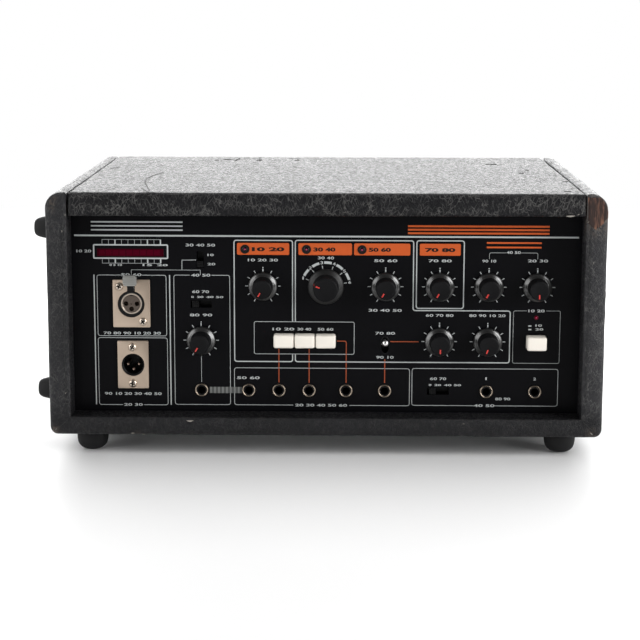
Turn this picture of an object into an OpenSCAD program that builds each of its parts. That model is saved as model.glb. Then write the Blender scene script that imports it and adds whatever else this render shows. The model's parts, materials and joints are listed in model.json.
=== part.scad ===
// Tape echo unit: a vinyl-covered board cabinet with a recessed control panel, a lift-off lid and a
// tape deck inside. Millimetres. X to the right, Y into the depth, Z up. The origin is on the table,
// under the middle of the cabinet.

/* [Cabinet] */
// Width over the two side boards
case_w = 440; // [440:1:452]
// Depth from the front edges to the back edges
case_d = 290; // [290:1:310]
// Height from the table to the top of the lid
case_h = 212; // [212:1:224]
// Thickness of each side board
side_t = 17; // [15:0.5:17]
// Thickness of the bottom board
bottom_t = 15; // [12:0.5:15]
// Thickness of the lid board
lid_t = 17.5; // [15:0.5:17.5]
// Radius of the two upper long corners
corner_r = 13; // [8:1:14]
// Radius of the two lower long corners
low_corner_r = 8; // [6:1:12]
// Radius of the front and back edges of the boards
edge_r = 3; // [1:0.5:4]
// Gap at each end of the lid
lid_gap = 0.7; // [0.5:0.1:1.5]

/* [Feet and handle] */
// Height of a rubber foot
foot_h = 17; // [17:0.5:20]
// Diameter of a foot where it meets the board
foot_d = 25; // [22:0.5:25]
// Diameter of a side foot where it meets the board
side_foot_d = 20; // [19:0.5:24]
// Sideways distance of the bottom feet from the middle
foot_x = 190.4; // [175:0.1:190.4]
// Distance of the feet from the front and back edges
foot_inset = 26; // [24:1:45]
// How far the strap handle bows out from the side
strap_out = 17; // [14:0.5:17]

/* [Panel] */
// Depth of the front panel behind the front edges
recess = 21; // [20:0.5:23]
// Height of the upper row of knobs
row_top = 135; // [134:0.5:136]
// Height of the lower row of knobs
row_low = 90.5; // [90:0.5:91]
// Height of the row of jacks
row_jack = 49.6; // [49:0.2:50]
// Diameter of a knob's skirt
knob_d = 23.2; // [22:0.2:24]
// Diameter of the mode knob's skirt
mode_knob_d = 28.8; // [28:0.2:29]
// Bore of a jack
jack_bore = 6.4; // [6.4:0.1:6.6]

/* [Deck] */
// Height of the tape deck's top face
deck_z = 160; // [158:0.5:160]
// Diameter of the capstan
capstan_d = 6; // [5:0.5:7]
// Diameter of the flywheel
flywheel_d = 76; // [60:1:76]
// Diameter of the motor pulley
pulley_d = 12; // [10:0.5:14]
// Diameter of the pinch roller
roller_d = 22; // [18:1:22]

/* [Hidden] */
$fn = 48;
half_w = case_w / 2;
half_d = case_d / 2;
y_front = -half_d;
y_panel = y_front + recess;         // front face of the control panel
in_x = half_w - side_t;             // inner face of a side board
floor_z = foot_h + bottom_t;        // top of the bottom board
lid_z = case_h - lid_t;             // underside of the lid
mid_z = (foot_h + case_h) / 2;
gap = 0.3;                          // air between pieces that move past each other
fit = 0.06;                         // radial running clearance of a shaft
sheet = 2;                          // thickness of the panels
y_rear = half_d - 20;               // outer face of the rear panel
tray_t = 1.5;
tray_z = floor_z + tray_t;

// Knob places: name, x, z, skirt radius, pointer angle clockwise from the top at rest
KNOBS = [
    ["input_volume_knob", -100, row_low, knob_d / 2, -150],
    ["chorus_intensity_knob", -50.2, row_top, knob_d / 2, -150],
    ["mode_knob", 0, row_top, mode_knob_d / 2, -70],
    ["overdub_volume_knob", 47.6, row_top, knob_d / 2, -150],
    ["reverb_volume_knob", 90.8, row_top, knob_d / 2, -150],
    ["bass_knob", 129.8, row_top, knob_d / 2, -150],
    ["treble_knob", 168.4, row_top, knob_d / 2, -178],
    ["echo_intensity_knob", 91, row_low, knob_d / 2, -180],
    ["repeat_rate_knob", 129.6, row_low, knob_d / 2, -160],
];
JACK_X = [-100, -61.9, -37.6, -13.3, 16.4, 47.5, 129.3, 168.2];
BUTTON_X = [-33.6, -16.8, 0];       // the three function buttons
button_w = 16;
button_h = 10.6;
button_out = 8;                     // how far a function button stands out of the panel
button_z = 91;
power_at = [168.5, 90.2];
power_w = 15.6;
power_h = 11;
power_out = 10;
LAMPS = [[-64.5, 164.7, 3.7], [-15.5, 164.7, 3.7], [28.7, 164.7, 3.7], [168.1, 110.4, 1.9]];
meter_at = [-156, 161.5];
meter_w = 53.5;
meter_h = 6.3;
toggle_at = [47.6, 87.3];
toggle_tilt = 15;
toggle_len = 16;
toggle_pivot = 4;                   // depth of the lever's pivot behind the panel's face
// Slide switches: name, x, z, slot width, slot height, offset of the slider at rest
SLIDERS = [
    ["direct_slider", -100.2, 156, 5.7, 13.7, [0, -3.5]],
    ["input_level_slider", -99.8, 120.1, 16.8, 6.2, [-4.5, 0]],
    ["output_level_slider", 90.5, 49.7, 17.5, 6.1, [-4.5, 0]],
];
in_plate = [-155.5, 120.4, 29.9, 38.8];   // input connector's plate: centre x, z, width, height
in_at = [-155.8, 119.9];                  // centre of its round insert
out_plate = [-155, 70.4, 24.9, 39.2];
out_at = [-155.1, 69.8];
contact_x = 4.4;                          // sideways place of the two upper contacts
contact_z = 4.3;                          // drop of the lower contact
CONTACTS = [[-contact_x, 0], [contact_x, 0], [0, -contact_z]];
PLATE_SCREWS = [[-165.2, 134.2], [-146.5, 105.7], [-155.5, 84.7], [-155.5, 54.9]];
plate_t = 1.5;
capstan_at = [110, -43.6];
tape_y = -40;                             // line of the tape past the heads
tape_z = deck_z + 10;                     // lower edge of the tape
tape_w = 6.35;
roller_at = [capstan_at[0], tape_y + 0.5 + roller_d / 2];
arm_pivot = [142, -20];
motor_at = [22, -40];
flywheel_z = deck_z - 22;                 // underside of the flywheel
HEAD_X = [-118, -78, -38, -8, 22];        // erase, record and three playback heads
GUIDES = [[-160, -37], [-138, -43], [60, -43], [160, -37]];

// ---- outlines and placing ----

// Points of a rounded rectangle centred on the origin, its lower corners of another radius if given
function rounded(w, h, r, steps = 6, low = 0) = [
    for (corner = [0:3]) for (i = [0:steps])
        let (turn = corner * 90 + i * 90 / steps,
             q = corner > 1 && low > 0 ? low : r,
             cx = (corner == 0 || corner == 3 ? 1 : -1) * (w / 2 - q),
             cz = (corner < 2 ? 1 : -1) * (h / 2 - q))
        [cx + q * cos(turn), cz + q * sin(turn)]
];
// Points of an arc, and of a band round a large and a small circle a given distance apart along X
function arc(cx, r, from, sweep, steps) = [
    for (i = [0:steps]) let (a = from + i * sweep / steps) [cx + r * cos(a), r * sin(a)]
];
function band(big, small, run) = let (lean = acos((big - small) / run))
    concat(arc(-run, small, 180 - lean, 2 * lean, 12), arc(0, big, 180 + lean, 360 - 2 * lean, 36));
module plate(w, h, t, r = 2) { linear_extrude(t) polygon(rounded(w, h, r)); }
// Stands its children on the panel's front face, their +Z towards the viewer
module on_panel(x, z) { translate([x, y_panel, z]) rotate([90, 0, 0]) children(); }
module block(low, high) { translate(low) cube(high - low); }
module hole(r, from, to) { translate([0, 0, from]) cylinder(r = r, h = to - from); }
module foot_places() {
    for (sx = [-1, 1], sy = [-1, 1]) translate([sx * foot_x, sy * (half_d - foot_inset), 0]) children();
}
module side_foot_places() {
    for (sz = [-67, 67], sy = [-1, 1])
        translate([-half_w - foot_h, sy * (half_d - 50), mid_z - 4 + sz])
            rotate([0, 90, 0]) children();
}

// ---- cabinet ----

// A side board: rounded seen from the front, from above and from the side
module side_board() {
    width = side_t;
    height = case_h - foot_h;
    intersection() {
        translate([0, half_d, mid_z]) rotate([90, 0, 0]) linear_extrude(case_d)
            difference() {
                polygon(rounded(case_w, height, corner_r, 8, low_corner_r));
                translate([-half_w - 1, -height]) square([case_w + 1 - width, 2 * height]);
            }
        translate([half_w - width / 2, 0, 0]) linear_extrude(case_h) polygon(rounded(width, case_d, edge_r));
        translate([0, 0, mid_z]) rotate([90, 0, 90]) linear_extrude(half_w)
            polygon(rounded(case_d, height, edge_r));
    }
}
module left_side() {
    color("#26262a") difference() {
        mirror([1, 0, 0]) side_board();
        side_foot_places() hole(2.1, 0, foot_h + side_t + 1);
    }
}
module right_side() {
    color("#26262a") difference() {
        side_board();
        cap_screw_places() hole(2.1, -1, side_t + 1);
    }
}
module long_board(w, t, z) {
    translate([-w / 2, 0, z + t / 2]) rotate([90, 0, 90]) linear_extrude(w)
        polygon(rounded(case_d, t, edge_r));
}
module bottom_board() {
    color("#26262a") difference() {
        long_board(2 * in_x, bottom_t, foot_h);
        foot_places() hole(2.1, 0, floor_z + 1);
    }
}
module top_lid() {
    color("#2a2a2e") difference() {
        long_board(2 * (in_x - lid_gap), lid_t, lid_z);
        stud_places() hole(2.1, lid_z - 1, lid_z + 10);
    }
}
module stud_places() {
    for (sx = [-1, 1], sy = [-1, 1]) translate([sx * (in_x - 7), sy * 95, 0]) children();
}
// Ball-headed studs that snap into the catches
module lid_studs() {
    color("silver") stud_places() {
        hole(2, lid_z, lid_z + 9);
        hole(2, lid_z - 8, lid_z);
        translate([0, 0, lid_z - 8]) sphere(r = 2.6);
    }
}
module lid_ledges() {
    color("#9a7a50") difference() {
        for (sx = [-1, 1]) block([sx > 0 ? in_x - 13 : -in_x, y_panel + 4, lid_z - 14],
                                 [sx > 0 ? in_x : -in_x + 13, y_rear - 4, lid_z - gap]);
        stud_places() hole(5.1, lid_z - 15, lid_z);
    }
}
module lid_catches() {
    color("#d8d8d0") stud_places() difference() {
        hole(5, lid_z - 14, lid_z - 1);
        hole(3, lid_z - 11.5, lid_z);
    }
}

// ---- feet, screws and handle ----

// Tapered rubber foot, standing on its narrow end
module rubber_foot(top, tip, bore) {
    rotate_extrude() polygon([
        [bore, 0], [tip - 1.9, 0], [tip - 0.6, 0.8], [tip, 2.2], [top, foot_h],
        [2.3, foot_h], [2.3, 11], [bore, 11]
    ]);
}
module bottom_feet() { color("#1c1c1e") foot_places() rubber_foot(foot_d / 2, foot_d / 2 - 2.6, 5); }
module side_feet() {
    color("#1c1c1e") side_foot_places() rubber_foot(side_foot_d / 2, side_foot_d / 2 - 2.2, 4.3);
}
module foot_screw(shank) {
    hole(4, 8.5, 11);
    hole(2, 11, 11 + shank);
}
module cap_screw_places() {
    for (sy = [-1, 1], sz = [-8, 8]) translate([half_w, sy * 86, mid_z + sz]) rotate([0, -90, 0]) children();
}
module case_screws() {
    color("silver") {
        foot_places() foot_screw(foot_h - 11 + bottom_t - 1);
        side_foot_places() foot_screw(foot_h - 11 + side_t - 2);
        cap_screw_places() {
            hole(3.4, -cap_out - 1.8, -cap_out);
            hole(2, -cap_out, side_t - 2);
        }
    }
}
strap_t = 4;
strap_w = 22;
strap_reach = 90;                   // half the strap's length along the side
bow_reach = 67.5;                   // half the length that bows out
cap_out = 7;                        // thickness of an end cap
// Outer face of the strap, a cosine bow between the end caps
function strap_x(y) = half_w + 5.5
    + (abs(y) < bow_reach ? (strap_out - 5.5) * pow(cos(90 * y / bow_reach), 0.8) : 0);
function strap_side(inset, from, step) = [for (i = [0:24]) let (y = from + i * step) [strap_x(y) - inset, y]];
module handle_strap() {
    step = strap_reach / 12;
    color("#1e1e20") difference() {
        translate([0, 0, mid_z - strap_w / 2]) linear_extrude(strap_w)
            polygon(concat(strap_side(0, -strap_reach, step), strap_side(strap_t, strap_reach, -step)));
        cap_screw_places() hole(2.2, -20, 1);
    }
}
module handle_end_caps() {
    air = 0.4;
    color("#3a3a3c") difference() {
        for (sy = [-1, 1]) translate([half_w, sy * 82, mid_z]) rotate([0, 90, 0])
            plate(29, 28, cap_out, 4);
        block([half_w - 1, -strap_reach - air, mid_z - strap_w / 2 - air],
              [half_w + 5.9, strap_reach + air, mid_z + strap_w / 2 + air]);
        cap_screw_places() hole(2.2, -20, 1);
    }
}

// ---- rear ----

inlet_at = [150, 62];
fuse_at = [112, 62];
module rear_panel() {
    color("#1b1b1d") difference() {
        block([-in_x, y_rear - sheet, floor_z], [in_x, y_rear, lid_z - gap]);
        translate([inlet_at[0], y_rear + 1, inlet_at[1]]) rotate([90, 0, 0]) plate(28.4, 20.4, sheet + 2, 2);
        translate([fuse_at[0], y_rear + 1, fuse_at[1]]) rotate([90, 0, 0]) cylinder(r = 6.2, h = sheet + 2);
        for (i = [0:11]) block([-160 + i * 9, y_rear - 3, 90], [-157 + i * 9, y_rear + 1, 130]);
    }
}
// Three-blade mains inlet in its moulded cup
module mains_inlet() {
    color("#151515") translate([inlet_at[0], y_rear, inlet_at[1]]) rotate([-90, 0, 0]) difference() {
        union() {
            plate(33, 25, 2.5, 3);
            translate([0, 0, -22]) plate(28, 20, 22, 2);
        }
        translate([0, 0, -16]) plate(24.5, 17, 20, 2.5);
    }
    color("silver") translate([inlet_at[0], y_rear, inlet_at[1]]) rotate([-90, 0, 0])
        for (at = [[-7, 0], [7, 0], [0, -4]]) translate([at[0] - 1, at[1] - 2.5, -16]) cube([2, 5, 14]);
}
module fuse_cap() {
    color("#202020") translate([fuse_at[0], y_rear, fuse_at[1]]) rotate([-90, 0, 0]) difference() {
        union() {
            hole(9, 0, 3);
            hole(7.5, 3, 10);
            hole(6, -30, 0);
        }
        translate([-6, -0.7, 8.5]) cube([12, 1.4, 2]);
    }
}

// ---- front panel ----

module front_panel() {
    color("#141416") difference() {
        block([-in_x, y_panel, floor_z], [in_x, y_panel + sheet, lid_z - gap]);
        for (k = KNOBS) on_panel(k[1], k[2]) hole(4.8, -sheet - 1, 1);
        for (x = JACK_X) on_panel(x, row_jack) hole(4.2, -sheet - 1, 1);
        for (lamp = LAMPS) on_panel(lamp[0], lamp[1]) hole(lamp[2], -sheet - 1, 1);
        for (s = SLIDERS) on_panel(s[1], s[2]) cube([s[3], s[4], 9], center = true);
        for (at = PLATE_SCREWS) on_panel(at[0], at[1]) hole(1.6, -sheet - 1, 1);
        on_panel((BUTTON_X[0] + BUTTON_X[2]) / 2, button_z)
            cube([BUTTON_X[2] - BUTTON_X[0] + button_w + 1, button_h + 1, 9], center = true);
        on_panel(power_at[0], power_at[1]) cube([power_w + 1, power_h + 1, 9], center = true);
        on_panel(meter_at[0], meter_at[1]) cube([meter_w, meter_h, 9], center = true);
        on_panel(toggle_at[0], toggle_at[1]) translate([0, 0, -3]) plate(6.4, 13, 5, 3.1);
        on_panel(in_at[0], in_at[1]) {
            hole(11.2, -sheet - 1, 1);
            translate([-4, 0, -sheet - 1]) cube([8, 16, 5]);
        }
        on_panel(out_at[0], out_at[1]) hole(10.8, -sheet - 1, 1);
    }
}
module meter_window() {
    color("#550016") on_panel(meter_at[0], meter_at[1]) {
        translate([0, 0, -sheet]) plate(meter_w - 0.2, meter_h - 0.2, sheet + 0.2, 0.4);
        translate([0, 0, -sheet - 2]) plate(meter_w + 4, meter_h + 4, 2, 0.4);
    }
}
module indicator_lamps() {
    color("#4a0f18") for (lamp = LAMPS) on_panel(lamp[0], lamp[1]) {
        r = lamp[2] - 0.2;
        hole(r, -9, 0);
        intersection() {
            translate([0, 0, 0.8 - 1.6 * r]) sphere(r = 1.6 * r);
            hole(r, 0, 5);
        }
    }
}

// Knob with its skirt, pointer and steel shaft; its +Z faces the viewer
module knob(skirt_r, rest) {
    cap_r = skirt_r * 0.63;
    color("#1d1d1f") rotate_extrude() polygon([
        [3.05, 3.6], [7.2, 3.6], [7.2, 1], [skirt_r - 0.3, 1], [skirt_r, 1.4], [skirt_r, 2.4],
        [skirt_r * 0.82, 5.2], [cap_r + 0.9, 5.8], [cap_r, 6.6], [cap_r - 0.3, 17.2], [cap_r - 1, 18],
        [0, 18], [0, 15], [3.05, 15]
    ]);
    color("#c8322c") rotate([0, 0, -rest]) translate([-0.6, cap_r - 4.8, 17.8]) cube([1.2, 3.8, 0.5]);
    color("silver") hole(3, -11, 14.8);
}
module placed_knob(name) {
    for (k = KNOBS) if (k[0] == name) on_panel(k[1], k[2]) knob(k[3], k[4]);
}
// Potentiometer or rotary switch behind the panel, with its threaded bush and nut
module rotary_control(r, depth) {
    difference() {
        union() {
            hole(r, -sheet - depth, -sheet);
            hole(4.7, -sheet, 2.6);
            translate([-9, -r - 7, -sheet - 6]) cube([18, 10, 1.2]);
        }
        hole(3 + fit, -sheet - depth + 1.5, 3);
    }
    difference() {
        cylinder(r = 6.6, h = 1.8, $fn = 6);
        hole(4.75, -1, 3);
    }
}
module rotary_controls() {
    color("#8a8a82") for (k = KNOBS) on_panel(k[1], k[2])
        rotary_control(k[3] > 13 ? 15 : 11.5, k[3] > 13 ? 16 : 12);
}

// ---- buttons and switches ----

module push_button(w, h, out) {
    crown = 0.5;
    translate([0, 0, -sheet - 2]) plate(w, h, sheet + 2 + out - crown, 1.2);
    translate([0, 0, out - crown]) plate(w - 2 * crown, h - 2 * crown, crown, 1);
    translate([-2, -2, -24]) cube([4, 4, 24 - sheet - 2]);
}
module function_button(i) {
    color("#f0e8de") on_panel(BUTTON_X[i], button_z) push_button(button_w, button_h, button_out);
}
module power_button() {
    color("#f0e8de") on_panel(power_at[0], power_at[1]) push_button(power_w, power_h, power_out);
}
module push_switch() {
    difference() {
        translate([-6, -5, -36]) cube([12, 10, 26]);
        translate([-2.4, -2.4, -30]) cube([4.8, 4.8, 24]);
    }
}
// Switch bodies behind the panel: push switches on one rail, the toggle and the slide switches
module switch_bodies() {
    color("#55565a") {
        for (x = BUTTON_X) on_panel(x, button_z) push_switch();
        on_panel(power_at[0], power_at[1]) push_switch();
        on_panel(toggle_at[0], toggle_at[1]) difference() {
            translate([-6, -8, -16]) cube([12, 16, 16 - sheet]);
            translate([-3.3, -6.5, -10]) cube([6.6, 13, 11]);
            translate([-5, 0, -toggle_pivot]) rotate([0, 90, 0]) cylinder(r = 1 + fit, h = 10);
        }
        for (s = SLIDERS) on_panel(s[1], s[2]) difference() {
            translate([-s[3] / 2 - 3, -s[4] / 2 - 3, -12]) cube([s[3] + 6, s[4] + 6, 12 - sheet]);
            translate([-s[3] / 2, -s[4] / 2, -8]) cube([s[3], s[4], 9]);
        }
    }
}
module toggle_lever() {
    color("silver") on_panel(toggle_at[0], toggle_at[1]) translate([0, 0, -toggle_pivot]) {
        rotate([-toggle_tilt, 0, 0]) {
            cylinder(r1 = 1.3, r2 = 2.2, h = toggle_len);
            translate([0, 0, toggle_len]) sphere(r = 2.75);
            sphere(r = 2.2);
        }
        translate([-4.8, 0, 0]) rotate([0, 90, 0]) cylinder(r = 1, h = 9.6);
    }
}
module slider(i) {
    s = SLIDERS[i];
    upright = s[4] > s[3];
    w = upright ? s[3] - 0.8 : 5;
    h = upright ? 5 : s[4] - 0.8;
    color("#0e0e10") on_panel(s[1] + s[5][0], s[2] + s[5][1]) difference() {
        translate([-w / 2, -h / 2, -7]) cube([w, h, 7.8]);
        translate([0, 0, 1]) cube(upright ? [2 * w, 1, 1.8] : [1, 2 * h, 1.8], center = true);
    }
}

// ---- sockets ----

module jack_sockets() {
    color("#1a1a1a") for (x = JACK_X) on_panel(x, row_jack) difference() {
        union() {
            hole(4.1, -sheet - 1, 1.2);
            translate([-7, -7, -sheet - 24]) cube([14, 14, 24]);
        }
        hole(jack_bore / 2, -sheet - 22, 2);
    }
}
module jack_nuts() {
    color("#b8a68c") for (x = JACK_X) on_panel(x, row_jack) rotate_extrude()
        polygon([[4.15, 0], [5.3, 0], [5.3, 1.3], [5, 1.8], [4.4, 1.8], [4.15, 1.4]]);
}
// Input connector: plate, black shell and an insert with three contact holes
module line_in_connector() {
    color("#c8b49b") difference() {
        on_panel(in_plate[0], in_plate[1]) plate(in_plate[2], in_plate[3], plate_t, 0.6);
        on_panel(in_at[0], in_at[1]) {
            hole(10.8, -1, 3);
            translate([-3.1, 8, -1]) cube([6.2, 7.5, 4]);
        }
        for (at = PLATE_SCREWS) on_panel(at[0], at[1]) hole(1.6, -1, 3);
    }
    color("#101012") on_panel(in_at[0], in_at[1]) difference() {
        hole(10.7, -22, 1);
        hole(8.6, -20, 2);
    }
    color("#b0a89c") on_panel(in_at[0], in_at[1]) difference() {
        hole(8.5, -20, -0.6);
        for (i = [0:2]) translate([CONTACTS[i][0], CONTACTS[i][1], 0]) hole(1.6, -14 - 0.3 * i, 0);
    }
}
module connector_latch() {
    color("#8f9490") on_panel(in_at[0] - 0.4, in_at[1]) {
        translate([0, 19.2, 3.4]) plate(11, 9.6, 2.6, 1);
        translate([-2.3, 11.3, -7]) cube([5.2, 4, 11.4]);
    }
}
module line_out_connector() {
    color("#c8b49b") difference() {
        on_panel(out_plate[0], out_plate[1]) plate(out_plate[2], out_plate[3], plate_t, 0.6);
        on_panel(out_at[0], out_at[1]) hole(8.8, -1, 3);
        for (at = PLATE_SCREWS) on_panel(at[0], at[1]) hole(1.6, -1, 3);
    }
    color("#101012") on_panel(out_at[0], out_at[1]) difference() {
        hole(10.4, -18, -0.01);
        hole(8.8, -16, 1);
        for (at = CONTACTS) translate([at[0], at[1], 0]) hole(1, -19, -15);
    }
}
module line_out_pins() {
    color("#d0cabc") on_panel(out_at[0], out_at[1]) for (at = CONTACTS) translate([at[0], at[1], 0]) {
        hole(1, -19, -15.5);
        hole(1.2, -15.5, -4);
        translate([0, 0, -4]) cylinder(r1 = 1.2, r2 = 0.6, h = 1);
    }
}
module connector_screws() {
    color("#cdb99b") for (at = PLATE_SCREWS) on_panel(at[0], at[1]) difference() {
        union() {
            hole(1.5, -6, plate_t);
            hole(3.25, plate_t, plate_t + 0.9);
            translate([0, 0, plate_t + 0.9]) cylinder(r1 = 3.25, r2 = 2, h = 0.9);
        }
        for (turn = [0, 90]) rotate([0, 0, turn]) translate([0, 0, plate_t + 1.9])
            cube([0.9, 3.8, 2], center = true);
    }
}

// ---- chassis and deck ----

module chassis_tray() {
    color("#9a9a90") {
        block([-in_x + 2, y_panel + sheet, floor_z], [in_x - 2, y_rear - sheet, tray_z]);
        for (sx = [-1, 1]) block([sx > 0 ? in_x - 3.5 : -in_x + 2, y_panel + sheet, tray_z],
                                 [sx > 0 ? in_x - 2 : -in_x + 3.5, y_rear - sheet, tray_z + 14]);
    }
}
deck_x = 186;
deck_front = -84;
deck_back = 118;
module deck_plate() {
    color("#b4b4ac") difference() {
        union() {
            block([-deck_x, deck_front, deck_z - 2], [deck_x, deck_back, deck_z]);
            translate([capstan_at[0], capstan_at[1], 0]) hole(8, deck_z - 6, deck_z + 4);
            for (x = [-deck_x, deck_x - 14], y = [deck_front, deck_back - 2])
                block([x, y, tray_z], [x + 14, y + 2, deck_z - 2]);
        }
        translate([capstan_at[0], capstan_at[1], 0]) hole(capstan_d / 2 + fit, deck_z - 7, deck_z + 5);
        translate([arm_pivot[0], arm_pivot[1], 0]) hole(3, deck_z - 3, deck_z + 1);
    }
}
chamber_y = [8, 112];
chamber_h = 24;
module tape_chamber() {
    color("#222226") difference() {
        block([-176, chamber_y[0], deck_z], [176, chamber_y[1], deck_z + chamber_h]);
        block([-173, chamber_y[0] + 3, deck_z + 2], [173, chamber_y[1] - 3, deck_z + chamber_h + 1]);
        for (sx = [-1, 1]) block([sx * 160 - 8, chamber_y[0] - 1, deck_z + 4],
                                 [sx * 160 + 8, chamber_y[0] + 4, deck_z + chamber_h + 1]);
    }
}
module chamber_cover() {
    color("#c8dce0", 0.4) translate([0, (chamber_y[0] + chamber_y[1]) / 2, deck_z + chamber_h])
        plate(352, chamber_y[1] - chamber_y[0], 2.5, 4);
}
// Erase, record and playback heads in their cans, faced towards the tape
module tape_heads() {
    face = tape_y - 0.4;
    color("#c0c0bc") for (x = HEAD_X) translate([x, face, 0]) {
        block([-6, -14, deck_z], [6, -3, deck_z + 20]);
        translate([0, 0, deck_z + 5]) linear_extrude(15) polygon([
            for (turn = [0:10:180]) [6 * cos(turn), -3 + 3 * sin(turn)]
        ]);
    }
}
module tape_guides() {
    color("silver") for (at = GUIDES) translate([at[0], at[1], 0]) {
        hole(4, deck_z, tape_z - 1);
        hole(2.4, tape_z - 1, tape_z + tape_w + 1);
        hole(4, tape_z + tape_w + 1, tape_z + tape_w + 2.5);
    }
}
// Middle line of the tape: straight past the heads, then lying in waves in the chamber
function tape_path() = concat(
    [for (x = [-163:163:163]) [x, tape_y]],
    [for (turn = [-80:20:0]) [163 + 2 * cos(turn), tape_y + 2 + 2 * sin(turn)]],
    [for (y = [-20:70:50]) [165, y]],
    [for (x = [162:-3:-162]) [x, 60 + 16 * cos(90 * x / 162) * sin(x * 6)]],
    [for (y = [50:-70:-20]) [-165, y]],
    [for (turn = [180:20:250]) [-163 + 2 * cos(turn), tape_y + 2 + 2 * sin(turn)]]
);
module tape_loop() {
    half = 0.15;
    mid = tape_path();
    last = len(mid) - 1;
    side = function (i, off) let (
        a = mid[max(0, i - 1)], b = mid[min(last, i + 1)], run = norm(b - a)
    ) mid[i] + off * [b[1] - a[1], a[0] - b[0]] / run;
    color("#5a3a26") translate([0, 0, tape_z]) linear_extrude(tape_w) polygon(concat(
        [for (i = [0:last]) side(i, half)], [for (i = [last:-1:0]) side(i, -half)]
    ));
}
module capstan_flywheel() {
    color("#d4d4d0") translate([capstan_at[0], capstan_at[1], 0]) {
        hole(capstan_d / 2, flywheel_z - 4, deck_z + 24);
        difference() {
            hole(flywheel_d / 2, flywheel_z, flywheel_z + 12);
            hole(flywheel_d / 2 - 8, flywheel_z - 1, flywheel_z + 5);
        }
        hole(9, flywheel_z, flywheel_z + 14);
    }
}
module pinch_arm() {
    arm_z = deck_z + 5;
    reach = norm(roller_at - arm_pivot);
    turn = atan2(arm_pivot[1] - roller_at[1], arm_pivot[0] - roller_at[0]);
    color("#c8b060") {
        translate([arm_pivot[0], arm_pivot[1], arm_z]) rotate([0, 0, turn])
            linear_extrude(2) polygon(band(6, 4, reach));
        translate([arm_pivot[0], arm_pivot[1], 0]) hole(3 - fit, deck_z - 8, arm_z + 12);
        translate([roller_at[0], roller_at[1], 0]) hole(2, arm_z + 1, arm_z + 16);
    }
}
module pinch_roller() {
    color("#1a1a1a") translate([roller_at[0], roller_at[1], 0]) difference() {
        hole(roller_d / 2, deck_z + 7.5, deck_z + 19);
        hole(2 + fit, deck_z + 6, deck_z + 21);
    }
}
motor_top = flywheel_z - 2;
module drive_motor() {
    color("#8c8c88") translate([motor_at[0], motor_at[1], 0]) difference() {
        union() {
            hole(24, motor_top - 46, motor_top);
            for (turn = [0, 120, 240]) rotate([0, 0, turn]) translate([20, 0, 0])
                hole(3, motor_top, deck_z - 2);
        }
        hole(2 + fit, motor_top - 12, motor_top + 1);
    }
}
module motor_pulley() {
    color("#c8a850") translate([motor_at[0], motor_at[1], 0]) {
        hole(2, motor_top - 10, motor_top + 1);
        hole(pulley_d / 2 + 1, motor_top + 1, motor_top + 2.5);
        hole(pulley_d / 2, motor_top + 2.5, motor_top + 10);
        hole(pulley_d / 2 + 1, motor_top + 10, motor_top + 11.5);
    }
}
module drive_belt() {
    run = norm(capstan_at - motor_at);
    turn = atan2(capstan_at[1] - motor_at[1], capstan_at[0] - motor_at[0]);
    air = 0.35;
    color("#161616") translate([capstan_at[0], capstan_at[1], motor_top + 4]) rotate([0, 0, turn])
        linear_extrude(5) difference() {
            polygon(band(flywheel_d / 2 + air + 1, pulley_d / 2 + air + 1, run));
            polygon(band(flywheel_d / 2 + air, pulley_d / 2 + air, run));
        }
}

// ---- electronics ----

board_z = tray_z + 8;
module main_board() {
    color("#2f6a3c") difference() {
        block([-120, -80, board_z], [130, 40, board_z + 1.6]);
        for (x = [-110, 120], y = [-72, 32]) translate([x, y, 0]) hole(1.6, board_z - 1, board_z + 3);
    }
    color("silver") for (x = [-110, 120], y = [-72, 32]) translate([x, y, 0]) difference() {
        hole(3.5, tray_z, board_z);
        hole(1.4, tray_z - 1, board_z + 1);
    }
    color("#2a3550") for (i = [0:5]) translate([-90 + i * 32, 20, 0]) hole(6, board_z + 1.6, board_z + 22);
    color("#222222") for (i = [0:6], y = [-60, -30])
        block([-96 + i * 30, y, board_z + 1.6], [-78 + i * 30, y + 7, board_z + 5]);
}
module mains_transformer() {
    color("#6a6a66") block([-180, 50, tray_z], [-116, 104, tray_z + 52]);
    color("#b08840") block([-170, 38, tray_z + 10], [-126, 50, tray_z + 42]);
    color("#b08840") block([-170, 104, tray_z + 10], [-126, 116, tray_z + 42]);
}
// Open steel channel with two springs' end blocks
module reverb_tank() {
    color("#a0a098") difference() {
        block([-90, 62, tray_z], [100, 102, tray_z + 26]);
        block([-88, 64, tray_z + 1.5], [98, 100, tray_z + 27]);
    }
    color("#444444") for (x = [-84, 84]) block([x, 68, tray_z + 1.5], [x + 10, 96, tray_z + 20]);
}

left_side();
right_side();
bottom_board();
top_lid();
lid_studs();
lid_ledges();
lid_catches();
bottom_feet();
side_feet();
case_screws();
handle_strap();
handle_end_caps();
rear_panel();
mains_inlet();
fuse_cap();
front_panel();
meter_window();
indicator_lamps();
placed_knob("input_volume_knob");  // input_volume_knob
placed_knob("chorus_intensity_knob");  // chorus_intensity_knob
placed_knob("mode_knob");  // mode_knob
placed_knob("overdub_volume_knob");  // overdub_volume_knob
placed_knob("reverb_volume_knob");  // reverb_volume_knob
placed_knob("bass_knob");  // bass_knob
placed_knob("treble_knob");  // treble_knob
placed_knob("echo_intensity_knob");  // echo_intensity_knob
placed_knob("repeat_rate_knob");  // repeat_rate_knob
rotary_controls();
function_button(0);  // function_button_1
function_button(1);  // function_button_2
function_button(2);  // function_button_3
power_button();
toggle_lever();
slider(0);  // direct_slider
slider(1);  // input_level_slider
slider(2);  // output_level_slider
switch_bodies();
jack_sockets();
jack_nuts();
line_in_connector();
connector_latch();
line_out_connector();
line_out_pins();
connector_screws();
chassis_tray();
deck_plate();
tape_chamber();
chamber_cover();
tape_heads();
tape_guides();
tape_loop();
capstan_flywheel();
pinch_arm();
pinch_roller();
drive_motor();
motor_pulley();
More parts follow.
